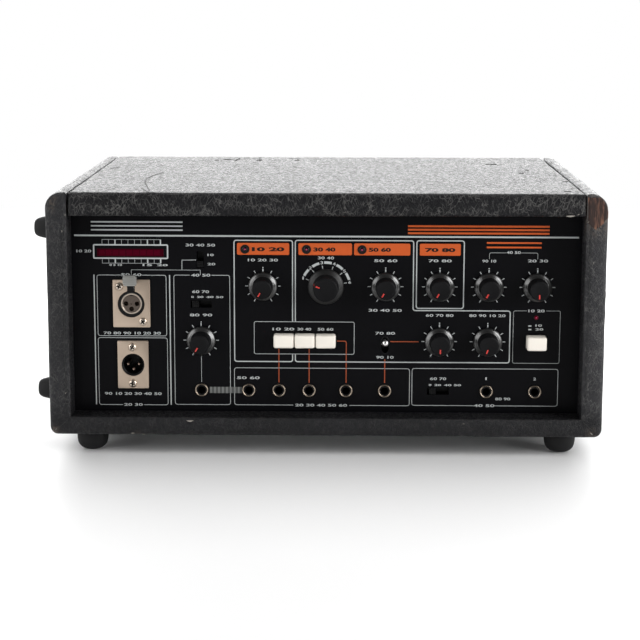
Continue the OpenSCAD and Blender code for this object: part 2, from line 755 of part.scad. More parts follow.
drive_belt();
main_board();
mains_transformer();
reverb_tank();
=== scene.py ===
import json
import math
import random

import bpy
from mathutils import Matrix, Vector, noise


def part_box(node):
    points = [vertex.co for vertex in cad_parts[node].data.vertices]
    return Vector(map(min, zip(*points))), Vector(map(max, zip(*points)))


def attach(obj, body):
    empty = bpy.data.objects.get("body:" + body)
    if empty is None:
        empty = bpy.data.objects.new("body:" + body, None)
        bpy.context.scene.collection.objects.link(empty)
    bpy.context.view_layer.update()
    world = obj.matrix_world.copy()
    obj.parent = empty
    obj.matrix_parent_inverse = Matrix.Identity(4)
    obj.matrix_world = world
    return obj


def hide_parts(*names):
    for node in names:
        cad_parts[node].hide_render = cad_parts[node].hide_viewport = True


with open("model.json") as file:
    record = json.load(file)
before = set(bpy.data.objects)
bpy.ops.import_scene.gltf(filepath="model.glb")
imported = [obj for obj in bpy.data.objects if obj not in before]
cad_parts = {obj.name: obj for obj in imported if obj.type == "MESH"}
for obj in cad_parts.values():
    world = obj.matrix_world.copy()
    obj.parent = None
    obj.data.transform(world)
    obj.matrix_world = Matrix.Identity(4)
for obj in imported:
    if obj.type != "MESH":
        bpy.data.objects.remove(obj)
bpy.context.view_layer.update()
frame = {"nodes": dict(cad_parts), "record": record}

MM = 0.001
TOUCH = 1e-5         # how near counts as touching, in metres
STRAIGHT = 0.99      # how much of a direction lies along an axis for it to count as running along it
NODES = frame["nodes"]
PANEL_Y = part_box("front_panel")[0].y
FRONT_Y, BACK_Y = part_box("left_side")[0].y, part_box("left_side")[1].y
SIDE_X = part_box("right_side")[1].x           # outer face of the right board
INNER_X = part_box("right_side")[0].x          # inner face of the right board
BASE_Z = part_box("bottom_board")[0].z
FLOOR_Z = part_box("bottom_board")[1].z
LID_Z, TOP_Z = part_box("top_lid")[0].z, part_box("top_lid")[1].z
BODY_OF = {node: body for body, nodes in frame["record"]["behaviour"]["bodies"].items() for node in nodes}


# ---- modelling as by hand ----

def deselect():
    if bpy.context.mode != "OBJECT":
        bpy.ops.object.mode_set(mode="OBJECT")
    bpy.ops.object.select_all(action="DESELECT")


def only(obj):
    deselect()
    obj.select_set(True)
    bpy.context.view_layer.objects.active = obj
    return obj


def settle(obj, name=None):
    """Writes the object's place, turn and scale into its mesh."""
    only(obj)
    bpy.ops.object.transform_apply(location=True, rotation=True, scale=True)
    obj.name = name or obj.name
    return obj


def edit(obj, kind="FACE"):
    only(obj)
    bpy.context.tool_settings.mesh_select_mode = (kind == "VERT", kind == "EDGE", kind == "FACE")
    bpy.ops.object.mode_set(mode="EDIT")


def leave(obj):
    bpy.ops.object.mode_set(mode="OBJECT")
    return obj


def pick(obj, kind, test):
    """Enters edit mode with only those faces or edges selected whose middle and direction pass the test."""
    mesh = obj.data
    for group in (mesh.vertices, mesh.edges, mesh.polygons):
        group.foreach_set("select", [False] * len(group))
    if kind == "FACE":
        for face in mesh.polygons:
            face.select = test(face.center, face.normal)
    else:
        for edge in mesh.edges:
            a, b = (mesh.vertices[i].co for i in edge.vertices)
            edge.select = test((a + b) / 2, (b - a).normalized())
    edit(obj, kind)


def modify(obj, kind, **values):
    modifier = obj.modifiers.new(kind.title(), kind)
    for key, value in values.items():
        setattr(modifier, key, value)
    only(obj)
    bpy.ops.object.modifier_apply(modifier=modifier.name)
    return obj


def bevel(obj, width_mm, segments=3, angle=30):
    return modify(obj, "BEVEL", width=width_mm * MM, segments=segments, limit_method="ANGLE",
                  angle_limit=math.radians(angle))


def along(axis, where=lambda middle: True):
    """A test for the edges that run along an axis and whose middle passes a second test."""
    return lambda middle, direction: abs(getattr(direction, axis)) > STRAIGHT and where(middle)


def bevel_edges(obj, width_mm, segments, test):
    pick(obj, "EDGE", test)
    bpy.ops.mesh.bevel(offset=width_mm * MM, segments=segments, affect="EDGES")
    return leave(obj)


def smooth(obj, angle=35):
    only(obj)
    bpy.ops.object.shade_smooth_by_angle(angle=math.radians(angle))
    return obj


def heal(obj, distance_mm=0.002):
    """Merges doubles and turns the faces outwards."""
    edit(obj)
    bpy.ops.mesh.select_all(action="SELECT")
    bpy.ops.mesh.remove_doubles(threshold=distance_mm * MM)
    bpy.ops.mesh.normals_make_consistent(inside=False)
    return leave(obj)


def cube(name, low, high):
    low, high = Vector(low), Vector(high)
    deselect()
    bpy.ops.mesh.primitive_cube_add(size=1, location=(low + high) / 2)
    bpy.context.object.scale = high - low
    return settle(bpy.context.object, name)


def block(name, low, high):
    """A cube between two corners given in millimetres."""
    return cube(name, *([v * MM for v in corner] for corner in (low, high)))


def rod(name, radius_mm, start, end, sides=32):
    start, end = Vector(start), Vector(end)
    deselect()
    bpy.ops.mesh.primitive_cylinder_add(vertices=sides, radius=radius_mm * MM, depth=(end - start).length,
                                        location=(start + end) / 2)
    obj = bpy.context.object
    obj.rotation_mode = "QUATERNION"
    obj.rotation_quaternion = (end - start).to_track_quat("Z", "Y")
    return settle(obj, name)


def chain(points):
    """Draws a line of vertices in edit mode, one extruded from the last, starting from a merged plane."""
    bpy.ops.mesh.primitive_plane_add(size=0.001, location=points[0])
    bpy.ops.mesh.merge(type="CENTER")
    for a, b in zip(points, points[1:]):
        bpy.ops.mesh.extrude_vertices_move(TRANSFORM_OT_translate={"value": tuple(Vector(b) - Vector(a))})


def empty_mesh(name):
    """A mesh object with nothing in it yet, to draw in."""
    obj = bpy.data.objects.new(name, bpy.data.meshes.new(name))
    bpy.context.scene.collection.objects.link(obj)
    return obj


def lathe(name, outline, steps=64):
    """Spins an outline of (radius, height) points in millimetres about Z."""
    obj = empty_mesh(name)
    edit(obj, "VERT")
    chain([(r * MM, 0, h * MM) for r, h in outline])
    bpy.ops.mesh.select_all(action="SELECT")
    bpy.ops.mesh.spin(steps=steps, angle=2 * math.pi, center=(0, 0, 0), axis=(0, 0, 1))
    leave(obj)
    return heal(obj)


def carve(obj, *cutters):
    for cutter in cutters:
        modify(obj, "BOOLEAN", object=cutter, operation="DIFFERENCE", solver="EXACT")
        bpy.data.objects.remove(cutter)
    return obj


def join(name, parts):
    deselect()
    for part in parts:
        part.select_set(True)
    bpy.context.view_layer.objects.active = parts[0]
    bpy.ops.object.join()
    parts[0].name = name
    return parts[0]


def moved(obj, place):
    obj.data.transform(place)
    obj.data.update()
    return obj


def copied(obj, place):
    twin = obj.copy()
    twin.data = obj.data.copy()
    bpy.context.scene.collection.objects.link(twin)
    return moved(twin, place)


def repeated(name, obj, places):
    """Copies a piece to every place and joins the copies; the piece itself goes."""
    copies = [copied(obj, place) for place in places]
    bpy.data.objects.remove(obj)
    return join(name, copies)


def at(x, y, z):
    return Matrix.Translation((x * MM, y * MM, z * MM))


def turned(degrees, axis):
    return Matrix.Rotation(math.radians(degrees), 4, axis)


def facing(x, z, turn=0):
    """Stands a piece on the panel's face at (x, z), its +Z towards the viewer, turned clockwise."""
    return Matrix.Translation((x * MM, PANEL_Y, z * MM)) @ turned(90, "X") @ turned(-turn, "Z")


def on_front(x=0, z=0, out=0):
    """Stands a piece on the cabinet's front at (x, z), its +Z towards the viewer, all in millimetres."""
    return Matrix.Translation((x * MM, FRONT_Y - out * MM, z * MM)) @ turned(90, "X")


def through_panel(low, high, front, back):
    """A box between two (x, z) corners in millimetres, its depths in metres behind the panel's face."""
    (x0, z0), (x1, z1) = low, high
    return cube("plate", (x0 * MM, PANEL_Y + front, z0 * MM), (x1 * MM, PANEL_Y + back, z1 * MM))


def dress(obj, material):
    obj.data.materials.clear()
    obj.data.materials.append(material)
    return obj


def hang(obj, body, slot, *replaced):
    """Makes a finished piece ride on its body and hides the solids it stands for; slot is not used."""
    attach(obj, body)
    if replaced:
        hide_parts(*replaced)
    return obj


def sliced(obj, axis, places):
    """Cuts a mesh across one axis at each place, in metres, so that it can be shaped between."""
    edit(obj)
    normal = [0, 0, 0]
    normal["XYZ".index(axis)] = 1
    for place in places:
        point = [0, 0, 0]
        point["XYZ".index(axis)] = place
        bpy.ops.mesh.select_all(action="SELECT")
        bpy.ops.mesh.bisect(plane_co=point, plane_no=normal)
    return leave(obj)


def steps_between(low, high, pitch_mm):
    count = max(1, round((high - low) / (pitch_mm * MM)))
    return [low + (high - low) * i / count for i in range(1, count)]


def wavering(obj, height_mm, wave_mm, seed):
    """Lets a covered board swell and sink a little, as vinyl glued over board does."""
    mesh = obj.data
    offsets = []
    for vertex in mesh.vertices:
        where = vertex.co / (wave_mm * MM) + Vector((seed, seed * 2, seed * 3))
        level = noise.noise(where) + 0.5 * noise.noise(where * 2.3)
        offsets.append(vertex.normal * (level * height_mm * MM))
    for vertex, offset in zip(mesh.vertices, offsets):
        vertex.co += offset
    mesh.update()


# ---- finishes ----

class Finish:
    """A material with short calls for its nodes. Patterns are laid by Object coordinates."""

    def __init__(self, name, colour, roughness, metallic=0.0, specular=0.5, **sockets):
        self.material = bpy.data.materials.new(name)
        self.material.use_nodes = True
        self.tree = self.material.node_tree
        self.shader = self.tree.nodes["Principled BSDF"]
        self.shader.inputs["Base Color"].default_value = (*colour, 1)
        self.shader.inputs["Roughness"].default_value = roughness
        self.shader.inputs["Metallic"].default_value = metallic
        self.shader.inputs["Specular IOR Level"].default_value = specular
        for key, value in sockets.items():
            self.shader.inputs[key.replace("_", " ")].default_value = value
        self.place = self.tree.nodes.new("ShaderNodeTexCoord").outputs["Object"]
        self.normal = None

    def node(self, kind, inputs, **values):
        made = self.tree.nodes.new("ShaderNode" + kind)
        for key, value in values.items():
            setattr(made, key, value)
        for key, value in inputs.items():
            self.feed(made.inputs[key], value)
        return made

    def feed(self, socket, value):
        if isinstance(value, bpy.types.NodeSocket):
            self.tree.links.new(value, socket)
        elif isinstance(value, (tuple, list)) and len(value) == 3 and socket.type == "RGBA":
            socket.default_value = (*value, 1)
        else:
            socket.default_value = value

    def mapped(self, scale=(1, 1, 1), turn=(0, 0, 0), place=None):
        inputs = {"Vector": place or self.place, "Scale": scale, "Rotation": turn}
        return self.node("Mapping", inputs).outputs[0]

    def noise(self, scale, detail=3, roughness=0.55, distortion=0.0, place=None):
        return self.node("TexNoise", {"Vector": place or self.place, "Scale": scale, "Detail": detail,
                                      "Roughness": roughness, "Distortion": distortion}).outputs["Fac"]

    def cell_edges(self, scale, place):
        inputs = {"Vector": place, "Scale": scale}
        return self.node("TexVoronoi", inputs, feature="DISTANCE_TO_EDGE").outputs["Distance"]

    def ramp(self, value, *stops):
        made = self.node("ValToRGB", {"Fac": value})
        ramp = made.color_ramp
        while len(ramp.elements) < len(stops):
            ramp.elements.new(0.5)
        for element, (position, level) in zip(ramp.elements, stops):
            element.position = position
            element.color = (level, level, level, 1) if isinstance(level, (int, float)) else (*level, 1)
        return made.outputs["Color"]

    def reckon(self, operation, a, b):
        return self.node("Math", {0: a, 1: b}, operation=operation).outputs[0]

    def times(self, a, b):
        return self.reckon("MULTIPLY", a, b)

    def plus(self, a, b):
        return self.reckon("ADD", a, b)

    def mix(self, factor, a, b):
        return self.node("Mix", {0: factor, 6: a, 7: b}, data_type="RGBA").outputs[2]

    def attribute(self, name):
        return self.node("Attribute", {}, attribute_name=name).outputs["Fac"]

    def colour(self, value):
        self.feed(self.shader.inputs["Base Color"], value)

    def roughness(self, value, low, high):
        made = self.node("MapRange", {"Value": value, "To Min": low, "To Max": high})
        self.feed(self.shader.inputs["Roughness"], made.outputs[0])

    def bump(self, height, depth_mm, strength=1.0):
        inputs = {"Height": height, "Distance": depth_mm * MM, "Strength": strength}
        if self.normal:
            inputs["Normal"] = self.normal
        self.normal = self.node("Bump", inputs).outputs[0]
        self.feed(self.shader.inputs["Normal"], self.normal)


def shade(colour, factor):
    return tuple(min(1.0, c * factor) for c in colour)


def vinyl(name, strands, wear_and_painted_light=False):
    """Black leather-grained vinyl: wrinkled cells, painted highlights along the ridges and short pale strands;
    on the cabinet, also rubbed spots and painted light that pales the side boards' fronts.
    """
    f = Finish(name, (0.010, 0.010, 0.011), 0.45, specular=0.27 if wear_and_painted_light else 0.17)
    warp = f.node("TexNoise", {"Vector": f.place, "Scale": 240, "Detail": 2}).outputs["Color"]
    bent = f.node("MixRGB", {"Fac": 0.0018, "Color1": f.place, "Color2": warp}, blend_type="ADD").outputs[0]
    grain, fine = f.cell_edges(560, bent), f.cell_edges(1400, bent)
    folds = f.noise(400, 4, 0.62, 1.0)
    patches = f.ramp(f.noise(24, 4, 0.6), (0.35, 0.0), (0.7, 1.0))
    base = f.mix(patches, (0.0024, 0.0024, 0.0034), (0.0056, 0.0056, 0.0072))
    # painted light: where the pale attribute is high, the base colour is lifted and the strands strengthened,
    # lightening the side boards' fronts
    if wear_and_painted_light:
        painted_light_tone = f.mix(patches, (0.014, 0.014, 0.016), (0.024, 0.024, 0.027))
        base = f.mix(f.attribute("pale"), base, painted_light_tone)
        strands = f.times(f.plus(f.attribute("pale"), 0.4), strands)
    # painted highlight: the fine grain on the high parts of the folds is lightened towards pale grey
    painted_ridge_highlight = f.times(f.ramp(folds, (0.50, 0.0), (0.62, 1.0)), f.ramp(fine, (0.04, 1.0), (0.16, 0.0)))
    colour = f.mix(f.times(painted_ridge_highlight, 0.35), base, (0.052, 0.050, 0.048))
    lines = []
    for size, lean, spread in (((430, 430, 130), 0.4, 130), ((350, 350, 120), -0.5, 90)):
        slanted = f.mapped(turn=(0, lean, 0), place=bent)
        edge = f.ramp(f.cell_edges(1, f.mapped(size, place=slanted)), (0.0, 1.0), (0.06, 0.0))
        lines.append(f.times(edge, f.ramp(f.noise(spread, 2), (0.44, 0.0), (0.58, 1.0))))
    colour = f.mix(f.times(f.reckon("MAXIMUM", *lines), strands), colour, (0.20, 0.195, 0.185))
    if wear_and_painted_light:
        rub = f.times(f.attribute("rub"), f.ramp(f.noise(420, 3), (0.42, 0.0), (0.56, 1.0)))
        colour = f.mix(rub, colour, (0.11, 0.086, 0.068))
    f.colour(colour)
    f.roughness(f.ramp(folds, (0.38, 1.0), (0.6, 0.0)), 0.30, 0.62)
    f.bump(folds, 0.85, 0.9)
    f.bump(f.ramp(grain, (0.0, 0.0), (0.2, 1.0)), 0.14, 0.8)
    f.bump(fine, 0.05, 0.5)
    return f.material


def plain(name, colour, roughness, specular=0.5, mottle=0.12, grain=300, depth=0.02):
    """A moulded, printed or painted finish with a little mottling and a faint texture."""
    f = Finish(name, colour, roughness, specular=specular)
    fine, broad = f.noise(grain, 3), f.noise(grain / 9, 3)
    tone = f.times(f.plus(fine, broad), 0.5)
    f.colour(f.mix(tone, shade(colour, 1 - mottle), shade(colour, 1 + mottle)))
    f.roughness(broad, max(0.02, roughness - 0.06), min(1, roughness + 0.08))
    if depth:
        f.bump(fine, depth, 0.6)
    return f.material


def metal(name, colour, roughness, stretch, mottle=0.15, depth=0.015):
    """Metal with fine scratches, drawn out along the axes whose stretch is low."""
    f = Finish(name, colour, roughness, 1.0)
    lines, broad = f.noise(1, 4, 0.6, 0, f.mapped(stretch)), f.noise(60, 3)
    f.colour(f.mix(broad, shade(colour, 1 - mottle), colour))
    f.roughness(lines, max(0.03, roughness - 0.07), roughness + 0.1)
    f.bump(lines, depth, 0.4)
    return f.material


def turned_metal(name, colour, roughness):
    """Fine rings left by turning, laid by the piece's own UV map, whose U runs out from the axis."""
    f = Finish(name, colour, roughness, 1.0)
    f.place = f.tree.nodes.new("ShaderNodeUVMap").outputs[0]
    rings = f.noise(1, 3, 0.6, 0, f.mapped((2600, 3, 1)))
    f.roughness(rings, roughness - 0.08, roughness + 0.12)
    f.bump(rings, 0.02, 0.5)
    return f.material


def clear_plastic():
    """Lightly scuffed clear acrylic."""
    f = Finish("clear_cover", (0.74, 0.80, 0.80), 0.06, IOR=1.03, Transmission_Weight=1.0)
    f.roughness(f.noise(60, 3), 0.08, 0.18)
    return f.material


def bare_board():
    """Torn brown fibreboard, its strands running up and down."""
    f = Finish("bare_board", (0.09, 0.04, 0.02), 0.8, specular=0.2)
    strands = f.noise(1, 4, 0.6, 0.6, f.mapped((900, 700, 70)))
    broad = f.noise(1, 3, 0.6, 0.4, f.mapped((330, 300, 40)))
    lit = f.mix(f.ramp(strands, (0.40, 0.0), (0.62, 1.0)), (0.022, 0.015, 0.014), (0.22, 0.110, 0.074))
    f.colour(f.mix(f.ramp(broad, (0.42, 0.0), (0.56, 1.0)), (0.030, 0.020, 0.018), lit))
    f.bump(strands, 0.5, 0.9)
    return f.material


def flat_ink(name, *colour):
    """A plain printed colour."""
    return plain(name, colour, 0.5, specular=0.2, depth=0)


# By name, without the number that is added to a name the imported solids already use.
M = {finish.name.split(".")[0]: finish for finish in (
    vinyl("vinyl", 0.22, wear_and_painted_light=True),
    vinyl("lid_vinyl", 0.42),
    bare_board(),
    plain("torn_backing", (0.30, 0.28, 0.25), 0.8, grain=900, depth=0.1),
    plain("crack_dark", (0.012, 0.012, 0.012), 0.7, grain=900),
    plain("foot_rubber", (0.011, 0.011, 0.0115), 0.6, specular=0.2, grain=700, depth=0.06),
    plain("panel_paint", (0.0026, 0.0026, 0.0034), 0.4, specular=0.07, grain=2600, depth=0.006),
    flat_ink("silver_print", 0.46, 0.485, 0.485),
    flat_ink("silver_text", 0.46, 0.48, 0.48),
    flat_ink("orange_print", 0.55, 0.095, 0.019),
    flat_ink("red_print", 0.34, 0.070, 0.026),
    plain("grey_print", (0.17, 0.175, 0.17), 0.5, specular=0.25, depth=0),
    flat_ink("grey_dark", 0.075, 0.078, 0.075),
    # black print, also used as the painted shade in the screws' cross recesses
    flat_ink("black_print_and_painted_shade", 0.005, 0.005, 0.005),
    plain("knob_black", (0.0042, 0.0042, 0.0048), 0.5, specular=0.12, mottle=0.3, grain=900, depth=0.02),
    plain("knob_skirt", (0.005, 0.005, 0.005), 0.27, specular=1.0, mottle=0, grain=20, depth=0),
    plain("mode_skirt", (0.006, 0.006, 0.006), 0.40, specular=0.35, mottle=0, grain=20, depth=0),
    plain("pointer_red", (0.52, 0.030, 0.022), 0.4, depth=0),
    plain("ivory_plastic", (0.85, 0.80, 0.72), 0.34, mottle=0.04, grain=120, depth=0.01),
    metal("champagne_plate", (0.60, 0.485, 0.385), 0.42, (160, 900, 2600)),
    turned_metal("nut_metal", (0.26, 0.215, 0.17), 0.38),
    metal("contact_pins", (0.42, 0.31, 0.25), 0.4, (600, 600, 600)),
    metal("screw_nickel", (0.66, 0.57, 0.48), 0.28, (400, 400, 400)),
    metal("insert_zinc", (0.16, 0.13, 0.11), 0.5, (700, 700, 700), mottle=0.25, depth=0.04),
    metal("chrome", (0.80, 0.80, 0.79), 0.24, (500, 500, 500), mottle=0.04, depth=0.004),
    metal("latch_zinc", (0.40, 0.40, 0.38), 0.5, (900, 900, 900), mottle=0.35, depth=0.08),
    plain("black_plastic", (0.0045, 0.0045, 0.0050), 0.42, specular=0.15, depth=0.01),
    plain("meter_window", (0.040, 0.0003, 0.0050), 0.3, specular=0.03, mottle=0.3, grain=900, depth=0),
    plain("meter_bar", (0.064, 0.0004, 0.0078), 0.3, specular=0.03, depth=0),
    plain("lamp_lens", (0.010, 0.0006, 0.003), 0.15, specular=0.3, depth=0),
    plain("led_lens", (0.11, 0.0007, 0.010), 0.2, specular=0.2, depth=0),
    # painted highlight at the middle of each lamp's lens
    plain("lamp_painted_highlight", (0.42, 0.035, 0.11), 0.3, specular=0.3, depth=0),
    metal("plated_steel", (0.50, 0.50, 0.485), 0.36, (300, 300, 300)),
    metal("zinc_sheet", (0.44, 0.44, 0.41), 0.42, (90, 500, 90)),
    plain("rear_paint", (0.009, 0.009, 0.010), 0.5, specular=0.3, grain=1400, depth=0.03),
    plain("batten_wood", (0.36, 0.22, 0.11), 0.7, grain=60, depth=0.2),
    plain("strap_vinyl", (0.014, 0.014, 0.015), 0.5, specular=0.4, grain=900, depth=0.12),
    plain("stitch_thread", (0.06, 0.06, 0.062), 0.7, grain=2000, depth=0.05),
    plain("nylon", (0.62, 0.61, 0.55), 0.5),
    metal("brass", (0.62, 0.46, 0.22), 0.30, (500, 500, 500)),
    metal("turned_aluminium", (0.66, 0.66, 0.65), 0.32, (700, 700, 700)),
    plain("tape_oxide", (0.10, 0.045, 0.025), 0.25, grain=1200, depth=0),
    plain("circuit_board", (0.05, 0.14, 0.06), 0.45, grain=200),
    clear_plastic(),
)}


# ---- cabinet ----

RIM = 3.0            # radius of the outer front and back edges, in millimetres
INNER_RIM = 1.3      # radius of the edges round the two openings
TOP_CORNER = 13.0    # radius of the two upper long corners
LOW_CORNER = 6.5     # radius of the two lower ones
BOARD_PITCH = 6.0    # how far apart the slices across a board lie
STRAP_X = 225.5      # how far out the strap's ends lie
BOW_Y, BOW_OUT = 67.5, 11.5    # half the length of the strap's bow, and how far it stands out


def on_rim(where):
    """A test for the edges round the front and the back whose middle passes a second test."""
    return lambda middle, direction: (
        min(abs(middle.y - FRONT_Y), abs(middle.y - BACK_Y)) < TOUCH
        and abs(direction.y) <= STRAIGHT and where(middle))


def crowned(obj, sink_mm, inset):
    """Rounds a board's front a little: it sinks towards the edges, as far as inset says they are."""
    for vertex in obj.data.vertices:
        depth = (vertex.co.y - FRONT_Y) / (8 * MM)
        if depth < 1:
            vertex.co.y += sink_mm * MM * (1 - depth) * max(0.0, 1 - inset(vertex.co) / (8.5 * MM)) ** 2
    obj.data.update()


def shell_inset(co):
    """How far a place on the shell's front lies from the nearest edge."""
    x, z = abs(co.x), co.z
    if z > FLOOR_Z:
        within = x - INNER_X
    else:
        within = FLOOR_Z - z if x < INNER_X else math.hypot(x - INNER_X, FLOOR_Z - z)
    return max(0.0, min(SIDE_X - x, z - BASE_Z, TOP_Z - z, within))


def cabinet_shell():
    """Both side boards and the bottom board in one covered shell, mitred at its lower corners."""
    shell = cube("cabinet_shell", (-SIDE_X, FRONT_Y, BASE_Z), (SIDE_X, BACK_Y, TOP_Z))
    bevel_edges(shell, TOP_CORNER, 8, along("y", lambda middle: middle.z > FLOOR_Z + 0.1))
    bevel_edges(shell, LOW_CORNER, 8, along("y", lambda middle: middle.z < BASE_Z + TOUCH))
    carve(shell, cube("inside", (-INNER_X, FRONT_Y - 0.01, FLOOR_Z), (INNER_X, BACK_Y + 0.01, TOP_Z + 0.01)))
    bevel_edges(shell, 1.6, 3, along("y", lambda middle: middle.z > TOP_Z - TOUCH
                                     and abs(abs(middle.x) - INNER_X) < TOUCH))
    bevel_edges(shell, INNER_RIM, 3, on_rim(lambda middle: shell_inset(middle) < TOUCH and (
        abs(abs(middle.x) - INNER_X) < TOUCH or abs(middle.z - FLOOR_Z) < TOUCH)))
    bevel_edges(shell, RIM, 4, on_rim(
        lambda middle: abs(middle.x) > INNER_X + 0.002 or middle.z < FLOOR_Z - 0.002))
    heal(shell)
    sliced(shell, "Y", steps_between(FRONT_Y + RIM * MM, BACK_Y - RIM * MM, BOARD_PITCH))
    sliced(shell, "X", steps_between(-INNER_X, INNER_X, BOARD_PITCH))
    sliced(shell, "X", [side * (INNER_X + out * MM) for side in (-1, 1) for out in (3, 5.5, 8.5, 11.5, 14)])
    sliced(shell, "Z", [BASE_Z + up * MM for up in (3, 5.2, 7.5, 9.8, 12)])
    sliced(shell, "Z", steps_between(FLOOR_Z, TOP_Z - TOP_CORNER * MM, BOARD_PITCH))
    crowned(shell, 0.9, shell_inset)
    smooth(shell, 40)
    wavering(shell, 0.22, 26, seed=3)
    rubs_and_painted_light(shell)
    hang(dress(shell, M["vinyl"]), "cabinet", "covering", "left_side", "right_side", "bottom_board")


def rubs_and_painted_light(shell):
    """Notes for the vinyl where the boards' fronts take painted light (the side boards, the right one most,
    while the bottom board's front stays dark as painted shade), and where they are rubbed.
    """
    spots = [  # place on the front, reach, strength
        ((-0.212, 0.203), 0.007, 0.9), ((0.212, 0.0205), 0.006, 0.55), ((-0.2155, 0.0205), 0.005, 0.9),
        ((0.2115, 0.196), 0.022, 0.8), ((-0.151, 0.0185), 0.003, 0.5),
    ]
    rub = shell.data.attributes.new("rub", "FLOAT", "POINT")
    pale = shell.data.attributes.new("pale", "FLOAT", "POINT")
    for i, vertex in enumerate(shell.data.vertices):
        x, y, z = vertex.co
        height, depth = (z - FLOOR_Z) / 0.012, (y - FRONT_Y) / 0.02
        # painted light: full on the side boards' fronts, fading back from the front and off over the bottom
        # board, whose front stays dark as painted shade; the left board takes 0.55 of it
        pale.data[i].value = min(1.0, max(0.0, height)) * max(0.15, 1 - depth) * (0.55 if x < 0 else 1.0)
        if y < FRONT_Y + 0.012:
            rub.data[i].value = max(strength * max(0.0, 1 - math.hypot(x - spot_x, z - spot_z) / reach)
                                    for (spot_x, spot_z), reach, strength in spots)


def lid_board():
    """The lift-off lid, a little shrunk and skewed, so that its end grooves gape."""
    gap = 0.0007
    lid = cube("lid_board", (-INNER_X + gap, FRONT_Y, LID_Z), (INNER_X - gap, BACK_Y, TOP_Z))
    bevel_edges(lid, 2.0, 3, along("y", lambda middle: middle.z > TOP_Z - TOUCH))
    bevel_edges(lid, INNER_RIM, 3, on_rim(lambda middle: middle.z < LID_Z + TOUCH))
    bevel_edges(lid, RIM, 4, on_rim(lambda middle: middle.z > LID_Z + 0.002))
    heal(lid)
    sliced(lid, "Y", steps_between(FRONT_Y + RIM * MM, BACK_Y - RIM * MM, BOARD_PITCH))
    sliced(lid, "X", steps_between(-INNER_X + 0.003, INNER_X - 0.003, BOARD_PITCH))
    sliced(lid, "Z", [LID_Z + up * MM for up in (3.4, 6, 8.75, 11.5, 14.1)])
    crowned(lid, 0.7, lambda co: max(0.0, min(co.z - LID_Z, TOP_Z - co.z)))
    for vertex in lid.data.vertices:
        back = (vertex.co.y - FRONT_Y) / (BACK_Y - FRONT_Y)
        if vertex.co.x < -INNER_X + 0.004:
            vertex.co.x += 0.0010 * (1 - back)
        if vertex.co.x > INNER_X - 0.004:
            vertex.co.x -= 0.0016 * back
        if vertex.co.z < LID_Z + 0.002 and vertex.co.y < FRONT_Y + 0.004:
            vertex.co.z -= 0.0011 * (0.5 - vertex.co.x / (2 * INNER_X))
    smooth(lid, 40)
    wavering(lid, 0.25, 24, seed=8)
    hang(dress(lid, M["lid_vinyl"]), "lid", "covering", "top_lid")


def ribbon(line, widths, thick_mm):
    """A flat strip along (x, y) points in millimetres, as wide at each point as widths says."""
    obj = empty_mesh("ribbon")
    edit(obj, "VERT")
    points = [Vector((x * MM, y * MM, 0)) for x, y in line]
    left, right = [], []
    for i, point in enumerate(points):
        run = points[min(len(points) - 1, i + 1)] - points[max(0, i - 1)]
        side = Vector((-run.y, run.x, 0)).normalized() * widths[i] / 2 * MM
        left.append(point + side)
        right.append(point - side)
    chain(left + right[::-1])
    bpy.ops.mesh.select_all(action="SELECT")
    bpy.ops.mesh.edge_face_add()
    leave(obj)
    heal(obj, 0.001)
    modify(obj, "SOLIDIFY", thickness=thick_mm * MM, offset=0)
    return modify(obj, "TRIANGULATE")


def lid_marks():
    """A curved crack in the lid's covering and a few small nicks beside it."""
    cracks = [  # points and width
        ([(-138.5, -142), (-139.5, -128), (-144, -105), (-149.5, -75), (-152, -47), (-148.5, -18),
          (-143, 2)], 0.8),
        ([(-138.5, -142), (-143, -128), (-148, -113)], 0.7), ([(-194, 32), (-191, 37), (-187, 45)], 1.6),
        ([(-107, 108.5), (-103, 108.5)], 7), ([(-99.5, 117), (-96, 119), (-92.5, 118)], 4),
        ([(-88, 104), (-86.8, 118), (-85.2, 131)], 1.2), ([(-66.3, 136), (-65.3, 106)], 1.2),
        ([(-68, 112), (-63, 112)], 4.5), ([(-32.5, 111), (-28.5, 111)], 6), ([(-31, 56), (-30, 49)], 2.2),
        ([(143, 81), (148, 84), (153, 82)], 1.3), ([(173.8, 31), (176.6, 31)], 6),
        ([(166.5, 10), (170.5, 8)], 4.5), ([(196, -55), (199.5, -56)], 5), ([(187.5, -125), (193, -125)], 4.5),
        ([(15.5, -130), (20, -130)], 3),
    ]
    place = at(0, 0, TOP_Z / MM + 0.02)
    parts = []
    for line, width in cracks:
        tips = (0, len(line) - 1) if len(line) > 2 else ()
        widths = [width * (0.25 if i in tips else 1) for i in range(len(line))]
        parts.append(moved(ribbon(line, widths, 0.5), place))
    hang(dress(join("lid_cracks", parts), M["crack_dark"]), "lid", "covering")


